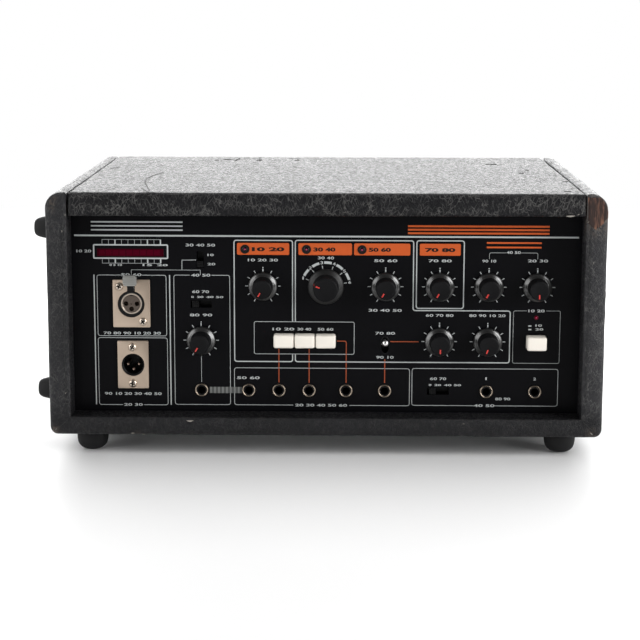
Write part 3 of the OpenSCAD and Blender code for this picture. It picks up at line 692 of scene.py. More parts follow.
def frayed_corner():
    """Bare fibreboard at the top of the right board, where its covering has rubbed through."""
    low_z, high_z = 0.1805, TOP_Z - 0.0012
    width, corner, rim = SIDE_X - INNER_X, TOP_CORNER * MM, RIM * MM
    dip = 0.43     # where across the board the torn edge comes lowest
    deselect()
    bpy.ops.mesh.primitive_grid_add(x_subdivisions=60, y_subdivisions=110, size=1,
                                    location=(INNER_X + width / 2, 0, (low_z + high_z) / 2),
                                    rotation=(math.radians(90), 0, 0))
    patch = bpy.context.object
    patch.scale = (width, high_z - low_z, 1)
    settle(patch, "frayed_corner")

    def from_corner(x, z):
        """How far a place lies from the middle of the rounded corner, or nothing where it isn't in it."""
        rounded = x > SIDE_X - corner and z > TOP_Z - corner
        return math.hypot(x - SIDE_X + corner, z - TOP_Z + corner) if rounded else 0.0

    def outside(middle, normal):
        across = (middle.x - INNER_X) / width
        ragged = 1.0 * MM * noise.noise(middle / 0.0022) + 2.2 * MM * noise.noise(middle / 0.006)
        away = (dip - across) / dip * 6.2 if across < dip else (across - dip) / (1 - dip) * 9.4
        return (middle.z < (184.4 + away) * MM + ragged * 0.7 or middle.z > TOP_Z - 0.0022
                or not 0 <= across <= 0.985 or from_corner(middle.x, middle.z) > corner - 0.9 * MM)

    for vertex in patch.data.vertices:
        x, z = vertex.co.x, vertex.co.z
        # follows the rounded rim: falls back towards the inner edge, the outer edge and the top corner
        round_off = from_corner(x, z)
        out = corner - round_off if round_off else SIDE_X - x
        near = max(0.0, min(out, x - INNER_X, TOP_Z - z))
        fall = rim - math.sqrt(max(0.0, rim ** 2 - max(0.0, rim - near) ** 2))
        strand = noise.noise(Vector((x / 0.0008, 0, z / 0.012)))
        rough = noise.noise(Vector((x / 0.0030, 5, z / 0.010)))
        vertex.co.y = FRONT_Y + fall - (0.15 + 0.28 * strand + 0.2 * rough) * MM
        vertex.co.x += 0.5 * MM * noise.noise(Vector(((x - INNER_X) / width * 9, 2, z / 0.008)))
    patch.data.update()
    pick(patch, "FACE", outside)
    bpy.ops.mesh.delete(type="FACE")
    leave(patch)
    modify(patch, "SOLIDIFY", thickness=0.9 * MM, offset=-1 if patch.data.polygons[0].normal.y < 0 else 1)
    heal(patch)
    smooth(patch, 50)
    hang(dress(patch, M["bare_board"]), "cabinet", "covering")


def shred(length_mm, width_mm, curl, rise):
    """A torn sliver of the covering's pale backing, lying along X and curling up."""
    deselect()
    bpy.ops.mesh.primitive_grid_add(x_subdivisions=10, y_subdivisions=2, size=1)
    sliver = bpy.context.object
    sliver.scale = (length_mm * MM, width_mm * MM, 1)
    settle(sliver, "shred")
    for vertex in sliver.data.vertices:
        run = vertex.co.x / (length_mm * MM) + 0.5
        vertex.co.y = vertex.co.y * (1 - (2 * run - 1) ** 2 * 0.85) + curl * MM * math.sin(run * 3.0)
        vertex.co.z = rise * MM * run ** 2
    sliver.data.update()
    modify(sliver, "SOLIDIFY", thickness=0.25 * MM, offset=0)
    return sliver


def torn_shreds(name, body, places, seed):
    """Shreds at places of (x, z, length, lean) on the front, all in millimetres and degrees."""
    draw = random.Random(seed)
    parts = []
    for x, z, length, lean in places:
        width, curl, rise = length * draw.uniform(0.14, 0.24), draw.uniform(-0.5, 0.5), draw.uniform(0.1, 0.5)
        piece = shred(length, width, curl, rise)
        parts.append(moved(piece, on_front(x, z, 0.1) @ turned(lean, "Z")))
    hang(dress(smooth(join(name, parts)), M["torn_backing"]), body, "covering")


def torn_places():
    """Where the covering has torn: along the lid's lower right edge and low on the cabinet."""
    torn_shreds("lid_shreds", "lid", [
        (190.4, 195.4, 7, 3), (199.1, 197.7, 1.4, 60), (196.5, 196.3, 1.8, 30)], 4)
    torn_shreds("cabinet_shreds", "cabinet", [
        (204.2, 190.6, 1.5, 50), (-203.9, 194.3, 1.5, 75), (-206.8, 181.5, 1.8, 84),
        (-107.7, 29.6, 5.5, 2), (-153.4, 18.9, 3.2, 6), (-145, 18.4, 2.4, -4),
        (-214.6, 21.4, 2.0, 44), (211.6, 20.9, 2.6, -42),
        (209, 158.5, 1.4, 84), (-206.5, 51.5, 1.8, 50), (110, 28.5, 1.8, 3)], 9)


def mitre_seams():
    """The covering's lapped edges: over each lower corner of the front, up both sides, and one at the top."""
    corner = [(204.6, 30.4), (207.5, 27.6), (211, 24.6), (214.6, 21.4), (216.6, 20.0)]
    seams = []     # points, widths, thickness, and how far each stands out
    for side in (-1, 1):
        seams.append(([(side * x, z) for x, z in corner], (0.25, 0.55, 0.5, 0.6, 0.25), 0.3, 0.03))
    for x in (-206.4, 206.6):
        line = [(x, 38), (x - 0.3, 80), (x + 0.2, 120), (x, 165), (x + 0.3, 188)]
        seams.append((line, (0.2, 0.4, 0.35, 0.4, 0.2), 0.2, 0.01))
    line = [(-215.6, 202.6), (-212.5, 200.6), (-209, 198.6), (-205.2, 196.6)]
    seams.append((line, (0.3, 0.6, 0.5, 0.3), 0.3, -0.06))
    parts = [moved(ribbon(line, widths, thick), on_front(out=out)) for line, widths, thick, out in seams]
    hang(dress(join("covering_seams", parts), M["crack_dark"]), "cabinet", "covering")


# ---- feet and handle ----

def rubber_feet():
    """Moulded feet with rounded treads and screw bores, four below and four smaller on the left side."""
    bore = [(2.4, 11), (2.4, 16.8)]
    low_foot = lathe("foot", [(5, 11)] + bore + [
        (12.5, 17), (12.7, 16.6), (12.7, 12), (12.5, 8.5), (12.0, 5.6), (11.2, 3.6), (9.9, 2.0),
        (8.4, 0.8), (6.8, 0.15), (5.8, 0.0), (5.1, 0.3), (5, 0.9), (5, 11)], 48)
    side_foot = lathe("foot", [(4.3, 11)] + bore + [
        (9.8, 17), (10, 16.6), (9.7, 14), (9.0, 9), (8.3, 5.4), (7.6, 3.0), (6.7, 1.3),
        (5.8, 0.35), (5.1, 0.0), (4.5, 0.3), (4.3, 0.8), (4.3, 11)], 48)
    corners = [(u, v) for u in (-1, 1) for v in (-1, 1)]
    for name, foot, places in (
        ("bottom_feet", low_foot, [at(u * 189.6, v * 119, 0) for u, v in corners]),
        ("side_feet", side_foot, [at(-237, v * 95, 110.5 + u * 67) @ turned(90, "Y") for u, v in corners]),
    ):
        dress(smooth(foot, 50), M["foot_rubber"])
        hang(repeated("rubber_" + name, foot, places), "cabinet", "rubber", name)


def strap_shape(y):
    """How far out the strap's face lies at y, both in millimetres."""
    return STRAP_X + (BOW_OUT * math.cos(math.pi / 2 * y / BOW_Y) ** 0.8 if abs(y) < BOW_Y else 0)


def carrying_strap():
    """The bowed strap: a padded band with its edges rolled and a line of stitches along each."""
    low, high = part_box("handle_strap")
    middle = (low.z + high.z) * 500
    strap = cube("handle_band", (0, -0.090, low.z), (0.004, 0.090, high.z))
    sliced(strap, "Y", steps_between(-0.090, 0.090, 3))
    sliced(strap, "Z", [low.z + 0.0055, (low.z + high.z) / 2, high.z - 0.0055])
    for vertex in strap.data.vertices:
        swell = 0.5 * math.cos((vertex.co.z * 1000 - middle) / 11 * math.pi / 2)
        outer = vertex.co.x > 0.002
        vertex.co.x = (strap_shape(vertex.co.y * 1000) - (0.4 - swell * 0.8 if outer else 4)) * MM
    strap.data.update()
    bevel(strap, 1.1, 3, 50)
    smooth(strap, 50)
    stitch = bevel(block("stitch", (-0.25, -1.1, -0.3), (0.25, 1.1, 0.3)), 0.15, 2)
    places = []
    for z in (-7.6, 7.6):
        for y in (i * 4.1 for i in range(-15, 16)):
            slope = math.degrees(math.atan2(strap_shape(y + 0.5) - strap_shape(y - 0.5), 1))
            places.append(at(strap_shape(y) - 0.25, y, middle + z) @ turned(-slope, "Z"))
    stitches = repeated("handle_stitches", stitch, places)
    hang(dress(strap, M["strap_vinyl"]), "cabinet", "strap", "handle_strap")
    hang(dress(stitches, M["stitch_thread"]), "cabinet", "strap")
    caps = []
    for side in (-1, 1):
        y, z = side * 0.082, middle * MM
        cap = cube("cap", (0.220, y - 0.014, z - 0.0145), (0.227, y + 0.014, z + 0.0145))
        bevel_edges(cap, 4, 5, along("x"))
        bevel_edges(cap, 1.2, 3, lambda place, direction: place.x > 0.2269)
        y = side * 0.0795
        slot = cube("slot", (0.219, y - 0.0109, low.z - 0.0004), (0.2259, y + 0.0109, high.z + 0.0004))
        caps.append(smooth(carve(cap, slot), 35))
    hang(dress(join("handle_caps", caps), M["black_plastic"]), "cabinet", "black_plastic", "handle_end_caps")


# ---- printing on the panel ----

INK = 0.10     # height of the print above the panel


def around(x, z, radius, angle):
    """The point at a radius from (x, z), at an angle clockwise from the top."""
    return x + radius * math.sin(math.radians(angle)), z + radius * math.cos(math.radians(angle))


def arc_points(x, z, radius, start, end, count):
    return [around(x, z, radius, start + (end - start) * i / count) for i in range(count + 1)]


def eased(points, radius, closed=False):
    """The same line with its corners rounded."""
    out = []
    count = len(points)
    for i, point in enumerate(points):
        if not closed and i in (0, count - 1):
            out.append(point)
            continue
        here = Vector((*point, 0))
        a = Vector((*points[i - 1], 0)) - here
        b = Vector((*points[(i + 1) % count], 0)) - here
        reach = min(radius, a.length / 2, b.length / 2)
        a, b = a.normalized() * reach, b.normalized() * reach
        for t in (0.0, 0.25, 0.5, 0.75, 1.0):
            place = here + a * (1 - t) ** 2 + b * t ** 2
            out.append((place.x, place.y))
    return out


def box_points(left, low, right, high, gap_low=None, gap_high=None):
    """A box's outline as one or two open lines, with room for a label in its lower or upper side."""
    if gap_low:
        return [(gap_low[1], low), (right, low), (right, high), (left, high), (left, low), (gap_low[0], low)]
    if gap_high:
        return [(gap_high[1], high), (right, high), (right, low), (left, low), (left, high),
                (gap_high[0], high)]
    return [(left, low), (right, low), (right, high), (left, high)]


def printed(name, ink, lines):
    """Lines of (width, points, closed), drawn as flat strips just above the panel's face."""
    parts = []
    for width in sorted({line[0] for line in lines}):
        strip = empty_mesh("strip")
        for _, points, closed in (line for line in lines if line[0] == width):
            edit(strip, "VERT")
            bpy.ops.mesh.select_all(action="DESELECT")
            chain([(x * MM, 0, z * MM) for x, z in points])
            leave(strip)
            if closed:
                count = len(strip.data.vertices)
                edit(strip, "VERT")
                bpy.ops.mesh.select_all(action="DESELECT")
                leave(strip)
                strip.data.vertices[count - 1].select = True
                strip.data.vertices[count - len(points)].select = True
                edit(strip, "VERT")
                bpy.ops.mesh.edge_face_add()
                leave(strip)
        edit(strip, "EDGE")
        bpy.ops.mesh.select_all(action="SELECT")
        bpy.ops.mesh.extrude_edges_move(TRANSFORM_OT_translate={"value": (0, (INK + 0.05) * MM, 0)})
        bpy.ops.mesh.select_all(action="SELECT")
        bpy.ops.mesh.normals_make_consistent(inside=False)
        leave(strip)
        modify(strip, "SOLIDIFY", thickness=width * MM, offset=0, use_even_offset=True, thickness_clamp=0)
        parts.append(moved(strip, Matrix.Translation((0, PANEL_Y - INK * MM, 0))))
    return hang(dress(join(name, parts), ink), "cabinet", "panel")


def bar(left, low, right, high):
    """A filled printed block as a line down its middle."""
    if right - left > high - low:
        middle = (low + high) / 2
        return (high - low, [(left, middle), (right, middle)], False)
    middle = (left + right) / 2
    return (right - left, [(middle, low), (middle, high)], False)


def numerals(name, ink, rows, weight=0.05, lift=0.0):
    """Plain numbers, each row (text, x, z, height, width), centred on its place."""
    parts = []
    for text, x, z, height, width in rows:
        deselect()
        bpy.ops.object.text_add()
        obj = bpy.context.object
        obj.data.body = text
        obj.data.size = (height - 2 * weight) * MM / 0.70
        obj.data.offset = weight * MM
        obj.data.extrude = 0.5 * (INK + 0.05) * MM
        obj.data.resolution_u = 3
        only(obj)
        bpy.ops.object.convert(target="MESH")
        obj = bpy.context.object
        left, right = (f(v.co.x for v in obj.data.vertices) for f in (min, max))
        low, high = (f(v.co.y for v in obj.data.vertices) for f in (min, max))
        fit = Matrix.Diagonal((width * MM / (right - left), height * MM / (high - low), 1, 1))
        middle = Matrix.Translation((-(left + right) / 2, -(low + high) / 2, 0))
        moved(obj, facing(x, z) @ at(0, 0, INK / 2 - 0.025 + lift) @ fit @ middle)
        parts.append(heal(obj, 0.001))
    hang(dress(join(name, parts), ink), "cabinet", "panel")


KNOBS = {  # place, skirt radius, pointer angle at rest
    "input_volume_knob": (-100, 90.5, 11.6, -150), "chorus_intensity_knob": (-50.2, 135, 11.6, -150),
    "mode_knob": (0, 135, 14.4, -70), "overdub_volume_knob": (47.6, 135, 11.6, -150),
    "reverb_volume_knob": (90.8, 135, 11.6, -150), "bass_knob": (129.8, 135, 11.6, -150),
    "treble_knob": (168.4, 135, 11.6, -178), "echo_intensity_knob": (91, 90.5, 11.6, -180),
    "repeat_rate_knob": (129.6, 90.5, 11.6, -160),
}


MODE_ANGLES = (-70, -40, -10, 20, 50, 80)     # the mode selector's six steps


def ticks(x, z, inner, outer, angles, width):
    """Short lines across a scale, at angles clockwise from the top."""
    return [(width, [around(x, z, inner, angle), around(x, z, outer, angle)], False) for angle in angles]


def panel_lines():
    """Every silver line of the panel: frames, scales, brackets and routing."""
    fine, thin, bold = 0.27, 0.40, 0.85
    low, high = 79.6, 106          # the push keys' box, which breaks the two boxes it crosses
    straight = [  # width, points
        (1.3, [(-200.6, 175.2), (200.3, 175.2)]),
        # direct signal switch: bracket and routing line
        (thin, [(-103.4, 155.8), (-114.8, 155.6), (-114.9, 147.9)]),
        (fine, [(-155.4, 143.5), (-155.4, 147.6), (-100.2, 147.6), (-100.2, 143.5)]),
        # bars beside the connector boxes, and the line in the second input box
        (bold, [(-185.4, 37), (-185.4, 143.5)]), (bold, [(-124.85, 37), (-124.85, 143.5)]),
        (fine, [(-100, 56), (-100, 77.5)]),
    ]
    rounded = [  # width, corner radius, points
        # input and output connector boxes, second input box
        (thin, 2, box_points(-183, 93.8, -127.7, 143.3, gap_high=(-164, -147))),
        (thin, 2, box_points(-183, 36.9, -127.3, 92.2, gap_low=(-164, -147))),
        (thin, 2, box_points(-121.5, 37.4, -76.8, 143.5, gap_high=(-108.8, -91.3))),
        # effect boxes
        (bold, 2, [(-26.6, high), (-26.6, 171.8), (-73.2, 171.8), (-73.2, 73.3), (-26.6, 73.3),
                   (-26.6, low)]),
        (bold, 2, [(-24.4, high), (-24.4, 172), (69.7, 172), (69.7, 115.7), (147.3, 115.7), (147.3, 73.3),
                   (-24.4, 73.3), (-24.4, low)]),
        # tone bracket, power box, jack boxes
        (fine, 1.5, [(143, 162.7), (129.9, 162.7), (129.9, 157.7)]),
        (fine, 1.5, [(154.9, 162.7), (168.2, 162.7), (168.2, 157.7)]),
        (fine, 1.5, box_points(149.9, 73.1, 187.2, 115.9, gap_high=(160.6, 176))),
        (thin, 2, box_points(-73.5, 37.4, 67.5, 68, gap_low=(-26.3, 19.2))),
        (thin, 2, box_points(69.5, 37.8, 186.6, 68.3, gap_low=(119.1, 136.2))),
    ]
    closed = [  # level window's frame, third effect box, push keys' box
        (1.1, 0.8, box_points(-185.2, 156.9, -126.2, 167.7)),
        (bold, 2, box_points(72.2, 117.5, 109.8, 172.1)),
        (thin, 1.5, box_points(-57.4, low, 22.8, high)),
    ]
    lines = [(width, points, False) for width, points in straight]
    lines += [(width, eased(points, corner), False) for width, corner, points in rounded]
    lines += [(width, eased(points, corner, True), True) for width, corner, points in closed]
    # a ladder of marks above and below the level window
    for low, high, rail in ((168.2, 172.0, 172.0), (152.9, 156.4, 152.9)):
        lines.append((fine, [(-178.4, rail), (-131.8, rail)], False))
        for i in range(10):
            x = -178.4 + 5.18 * i
            lines.append((1.0 if i in (2, 7, 9) else fine, [(x, low), (x, high)], False))
    # knob scales
    for name, (x, z, skirt, rest) in KNOBS.items():
        if name != "mode_knob":
            lines += ticks(x, z, 11.9, 14.2, [-150, -120, -90, -60, -30, 30, 60, 90, 120, 150], 0.62)
            lines += ticks(x, z, 11.8, 14.0, [0], 0.9) + ticks(x, z, 14.6, 15.4, [0], 0.9)
    x, z = KNOBS["mode_knob"][:2]
    lines += ticks(x, z, 14.5, 16.9, MODE_ANGLES, 0.62)
    for middle in (-55, -25, 5, 35, 65):
        lines.append((2.0, arc_points(x, z, 19.2, middle - 9, middle + 9, 6), False))
    return lines


def silver_labels():
    """Groups of plain numbers in the place and size of every printed word."""
    rows = []
    for i, (x, z, width) in enumerate((
        (-193.1, 162.6, 11.8), (-100, 167.8, 23.5), (-155.5, 143.6, 16.3), (-155.5, 96, 46),
        (-155.5, 46.1, 46), (-155.5, 37, 15), (-100, 143.5, 15.5), (-100.2, 130.1, 13.5),
        (-100, 111.1, 18), (-50.2, 156, 24),
        (0, 157.9, 12.8), (47.6, 155.9, 18.4), (90.8, 156, 18.4), (129.8, 156, 11), (168.4, 156.3, 16),
        (149, 163, 11.2), (91, 111.8, 22.2), (129.1, 111.8, 29), (168.2, 115.9, 13), (47.5, 115.7, 26.5),
        (-62.3, 59.8, 18.3), (47.6, 97, 15.8), (47.6, 77.3, 14), (-3.6, 37.4, 42), (127.7, 37.9, 17),
        (90.5, 59.9, 13), (142.7, 43.5, 12), (-34, 100, 17.5), (-17.2, 100, 11), (-0.2, 100, 12.6),
    )):
        count = max(1, round((width / 2.9 + 1) / 3))
        text = " ".join(str(10 * ((i * 2 + n) % 9 + 1)) for n in range(count))
        rows.append((text, x, z, 2.2, width))
    for text, x, width in (("0 5 10", -167.8, 10), ("15", -142.5, 7.5), ("20", -130.4, 8.6)):
        rows.append((text, x, 151.5, 1.6, width))
    for z, places in ((125.8, (-106.7, -100.5, -88.9)), (54.7, (84.1, 90.3, 102.1))):
        for text, x, width in zip(("0", "20", "40 50"), places, (2.1, 5.2, 13.8)):
            rows.append((text, x, z, 1.6, width))
    rows += [("10", -91.9, 159.9, 1.9, 5), ("20", -91.3, 152.5, 1.9, 6.3), ("10", 170.2, 104, 1.8, 5.2),
             ("20", 170.8, 100.9, 1.8, 6.4), ("1", 129, 60.2, 2.2, 1.0), ("2", 168, 60.2, 2.2, 2.0)]
    x, z = KNOBS["mode_knob"][:2]
    for i, angle in enumerate(MODE_ANGLES):
        rows.append((str(i + 1), *around(x, z, 19.3, angle), 2.4, 1.2 if i == 0 else 2.3))
    return rows


def rounded_patch(left, low, right, high, corner):
    """A printed block with rounded corners, as a thin plate just above the panel's face."""
    patch = through_panel((left, low), (right, high), -INK * MM, 0.05 * MM)
    return bevel_edges(patch, corner, 4, along("y"))


def panel_printing():
    """Everything printed on the panel: silver and red lines, plain numbers, stripes and orange bars."""
    small_bars = [bar(162, z - 0.5, 164.4, z + 0.5) for z in (103.6, 100.7)]
    printed("panel_lines", M["silver_print"], panel_lines() + small_bars)
    numerals("panel_numbers", M["silver_text"], silver_labels())
    # three plain stripes in silver at the upper left, and in orange at the upper right
    printed("left_stripes", M["silver_print"], [bar(-187, z, -114, z + 1.1) for z in (179.2, 182.4, 185.6)])
    orange = [bar(65, z, 177, z + 1.5) for z in (177.4, 180.2, 183)]
    orange += [bar(127.6, z, 171, z + 1.3) for z in (166.4, 170)]
    printed("orange_stripes", M["orange_print"], orange)
    bars = [rounded_patch(left, 160.2, right, 169.7, 1.0)
            for left, right in ((-70.8, -29.3), (-21.9, 20.7), (22.4, 67.0), (74.6, 107))]
    hang(dress(join("orange_bars", bars), M["orange_print"]), "cabinet", "panel")
    numerals("bar_numbers", M["black_print_and_painted_shade"], [
        ("10 20", -46, 164.7, 3.3, 26), ("30 40", -1.2, 164.7, 3.3, 17.6), ("50 60", 42.8, 164.7, 3.3, 17.6),
        ("70 80", 90.8, 164.7, 3.3, 24)], 0.2, 0.06)
    red = [[(-37.6, 84), (-37.6, 56)], [(-13.3, 84), (-13.3, 56)],
           eased([(9.1, 90.4), (16.5, 90.4), (16.5, 56)], 1.6),
           [(47.5, 75.6), (47.5, 56.2)], [(51.7, 90.2), (74.4, 90.2)]]
    printed("red_lines", M["red_print"], [(0.7, points, False) for points in red])
    printed("grey_block", M["grey_dark"], [bar(-93.6, 47, -67.4, 52.1)])
    stripes = [bar(-93.2 + i * 3.2, 47, -91.8 + i * 3.2, 52.1) for i in range(8)]
    moved(printed("grey_stripes", M["grey_print"], stripes), at(0, -0.03, 0))


# ---- controls ----

def turned_knob(name, x, z, skirt, rest):
    """A knob: glossy sloping skirt, matte cylindrical cap, red pointer and steel shaft."""
    cap = skirt * 0.69
    base = lathe("skirt", [
        (3.1, 3.6), (7.2, 3.6), (7.2, 1.0), (skirt - 0.4, 1.0), (skirt, 1.3), (skirt, 2.6),
        (skirt - 0.2, 3.1), (skirt - 1.1, 3.75), (skirt - 2.3, 4.45), (cap + 0.8, 5.1),
        (cap + 0.4, 5.35), (3.1, 5.35), (3.1, 3.6)], 72)
    dress(smooth(base, 45), M["mode_skirt" if name == "mode_knob" else "knob_skirt"])
    top = lathe("cap", [
        (3.1, 5.5), (cap + 0.35, 5.5), (cap + 0.1, 6.2), (cap, 7.2), (cap - 0.22, 16.9), (cap - 0.45, 17.6),
        (cap - 0.95, 17.95), (cap - 1.7, 18.0), (cap - 2.3, 17.8), (0.02, 17.8), (0.0, 15.0), (3.1, 15.0),
        (3.1, 5.5)], 72)
    dress(smooth(top, 30), M["knob_black"])
    mark = block("mark", (-0.55, cap - 5.0, 17.5), (0.55, cap - 1.6, 18.1))
    line = block("line", (-0.35, cap - 0.6, 9), (0.35, cap + 0.05, 16.4))
    pointer = join("pointer", [bevel(mark, 0.15, 2), bevel(line, 0.1, 1)])
    dress(moved(pointer, turned(-rest, "Z")), M["pointer_red"])
    shaft = dress(rod("shaft", 3.0, (0, 0, -11 * MM), (0, 0, 14.8 * MM)), M["plated_steel"])
    knob = moved(join("dressed_" + name, [top, base, pointer, shaft]), facing(x, z))
    hang(knob, BODY_OF[name], "knob", name)


def key(width, height, out, crown):
    """A moulded push key with a soft crown, its stem behind it; it faces +Z."""
    rim = out - crown
    cap = block("key", (-width / 2, -height / 2, -4), (width / 2, height / 2, rim))
    bevel_edges(cap, 1.6, 4, along("z"))
    bevel_edges(cap, 1.1, 4, lambda middle, direction: middle.z > (rim - 0.01) * MM)
    sliced(cap, "X", [i * width / 8 * MM for i in range(-3, 4)])
    sliced(cap, "Y", [i * height / 6 * MM for i in range(-2, 3)])
    for vertex in cap.data.vertices:
        if vertex.co.z > (rim - 0.3) * MM:
            u, v = vertex.co.x / (width / 2 * MM), vertex.co.y / (height / 2 * MM)
            vertex.co.z += crown * MM * max(0.0, 1 - u * u * 0.5 - v * v * 0.5)
    stem = bevel(block("stem", (-2, -2, -24), (2, 2, -3.5)), 0.3, 1)
    return smooth(join("key", [heal(cap), stem]), 40)


def push_keys():
    """Three function keys, each a little askew, and the power key."""
    for number, x, lean in ((1, -33.6, 0.3), (2, -16.8, -1.0), (3, 0, -0.4)):
        button = moved(key(16, 10.6, 8, 0.5), facing(x, 91, lean))
        button.name = "ivory_key_%d" % number
        dress(button, M["ivory_plastic"])
        hang(button, "function_push_%d" % number, "ivory", "function_button_%d" % number)
    power = moved(key(15.6, 11, 10, 0.5), facing(168.2, 90.5))
    power.name = "ivory_key_power"
    hang(dress(power, M["ivory_plastic"]), "power_push", "ivory", "power_button")


def toggle():
    """A bat lever with a ball end, leaning up at rest, its cross pin and the rim of its slot."""
    lever = lathe("lever", [
        (0.0, -2.2), (1.3, -1.8), (2.1, -0.6), (2.1, 0.6), (1.4, 1.8), (1.25, 3), (1.5, 9), (1.9, 13.2),
        (2.3, 14.2), (2.65, 15.1), (2.75, 16.0), (2.6, 16.95), (2.15, 17.85), (1.35, 18.5), (0.0, 18.75)], 40)
    pin = rod("pin", 1.0, (-2.5 * MM, 0, 0), (2.5 * MM, 0, 0), 24)
    moved(lever, turned(-15, "X"))
    lever = join("chrome_lever", [smooth(lever, 40), smooth(pin, 40)])
    moved(lever, facing(47.6, 87.3) @ at(0, 0, -4))
    hang(dress(lever, M["chrome"]), "toggle", "chrome", "toggle_lever")
    rim = lathe("slot_rim", [(3.9, 0.0), (4.3, 0.0), (4.3, 0.25), (4.1, 0.4), (3.9, 0.35), (3.9, 0.0)], 40)
    smooth(moved(rim, Matrix.Diagonal((0.86, 1.72, 1, 1))))
    hang(dress(moved(rim, facing(47.6, 87.3)), M["black_plastic"]), "cabinet", "black_plastic")


def slide_switches():
    """The ridged sliders of the three slide switches."""
    for name, body, x, z, wide, tall, dx, dz in (
        ("direct_slider", "direct_slide", -100.2, 156, 5.7, 13.7, 0, -3.5),
        ("input_level_slider", "input_level_slide", -99.8, 120.1, 16.8, 6.2, -4.5, 0),
        ("output_level_slider", "output_level_slide", 90.5, 49.7, 17.5, 6.1, -4.5, 0),
    ):
        upright = tall > wide
        w, h = (wide - 0.8, 5.0) if upright else (5.0, tall - 0.8)
        slider = bevel(block("slider", (-w / 2, -h / 2, -7), (w / 2, h / 2, 0.8)), 0.25, 2)
        grooves = []
        for i in (-1.4, 0, 1.4):
            low, high = i - 0.35, i + 0.35
            ends = ((-w, low), (w, high)) if upright else ((low, -h), (high, h))
            grooves.append(block("groove", (*ends[0], 0.2), (*ends[1], 2)))
        carve(slider, *grooves)
        slider.name = "ridged_" + name
        moved(slider, facing(x + dx, z + dz))
        hang(dress(smooth(slider, 30), M["black_plastic"]), body, "black_plastic", name)


# ---- sockets ----

PLATE = 1.5          # thickness of the line sockets' plates, in millimetres
PLATE_SCREWS = [(-165.2, 134.2), (-146.5, 105.7), (-155.5, 84.7), (-155.5, 54.9)]
CONTACTS = [(-4.4, 0), (4.4, 0), (0, -4.3)]    # each socket's contacts, from its middle


def jack_rings():
    """Turned ring nuts of the eight jacks."""
    ring = lathe("ring", [(4.15, 0.0), (5.35, 0.0), (5.35, 1.1), (5.2, 1.5), (4.85, 1.7), (4.5, 1.6),
                          (4.15, 1.2), (4.15, 0.0)], 48)
    wrap = ring.data.uv_layers.new(name="rings")
    for loop in ring.data.loops:
        co = ring.data.vertices[loop.vertex_index].co
        wrap.data[loop.index].uv = (math.hypot(co.x, co.y), math.atan2(co.y, co.x) / (2 * math.pi))
    smooth(ring, 40)
    places = [facing(x, 49.6) for x in (-100, -61.9, -37.6, -13.3, 16.4, 47.5, 129.3, 168.2)]
    hang(dress(repeated("jack_rings", ring, places), M["nut_metal"]), "cabinet", "champagne", "jack_nuts")


def cross_screw(radius, head):
    """A round-headed screw with a cross recess, whose floor and walls are painted dark as painted shade; it
    stands on z = 0.
    """
    screw = lathe("screw", [
        (0.0, -3), (radius * 0.45, -3), (radius * 0.45, 0), (radius, 0), (radius * 0.98, head * 0.35),
        (radius * 0.85, head * 0.7), (radius * 0.55, head * 0.93), (0.0, head)], 32)
    arm, half = radius * 0.62, 0.55
    blades = [block("blade", (-x, -y, head * 0.2), (x, y, head * 2)) for x, y in ((arm, half), (half, arm))]
    # painted shade: a second, black finish for the floor and walls of the cross recess
    dress(smooth(carve(screw, *blades), 40), M["screw_nickel"]).data.materials.append(M["black_print_and_painted_shade"])
    reach = arm * 1.02 * MM
    for face in screw.data.polygons:
        x, y, z = face.center
        bottom = z < head * 0.45 * MM and max(abs(x), abs(y)) < reach
        wall = abs(face.normal.z) < 0.2 and math.hypot(x, y) < reach
        if z > 0 and (bottom or wall):
            face.material_index = 1
    return screw


def connector_plate(x, z, width, height, hole, radius, keyway=False):
    """A line socket's satin plate with rolled edges, a round opening and the holes of its screws."""
    low, high = (x - width / 2, z - height / 2), (x + width / 2, z + height / 2)
    plate = through_panel(low, high, -PLATE * MM, 0)
    bevel_edges(plate, 0.8, 3, along("y"))
    bevel_edges(plate, 0.35, 2, lambda middle, direction: middle.y < PANEL_Y - PLATE * MM + TOUCH)
    screws = [place for place in PLATE_SCREWS if abs(place[1] - z) < height / 2]
    openings = [(hole, radius, 96)] + [(place, 1.6, 24) for place in screws]
    cutters = [rod("cutter", r, (u * MM, PANEL_Y - 0.01, v * MM), (u * MM, PANEL_Y + 0.01, v * MM), sides)
               for (u, v), r, sides in openings]
    if keyway:
        u, v = hole
        cutters.append(through_panel((u - 3.1, v + 8), (u + 3.1, v + 15.5), -0.01, 0.01))
    return dress(smooth(carve(plate, *cutters), 30), M["champagne_plate"])


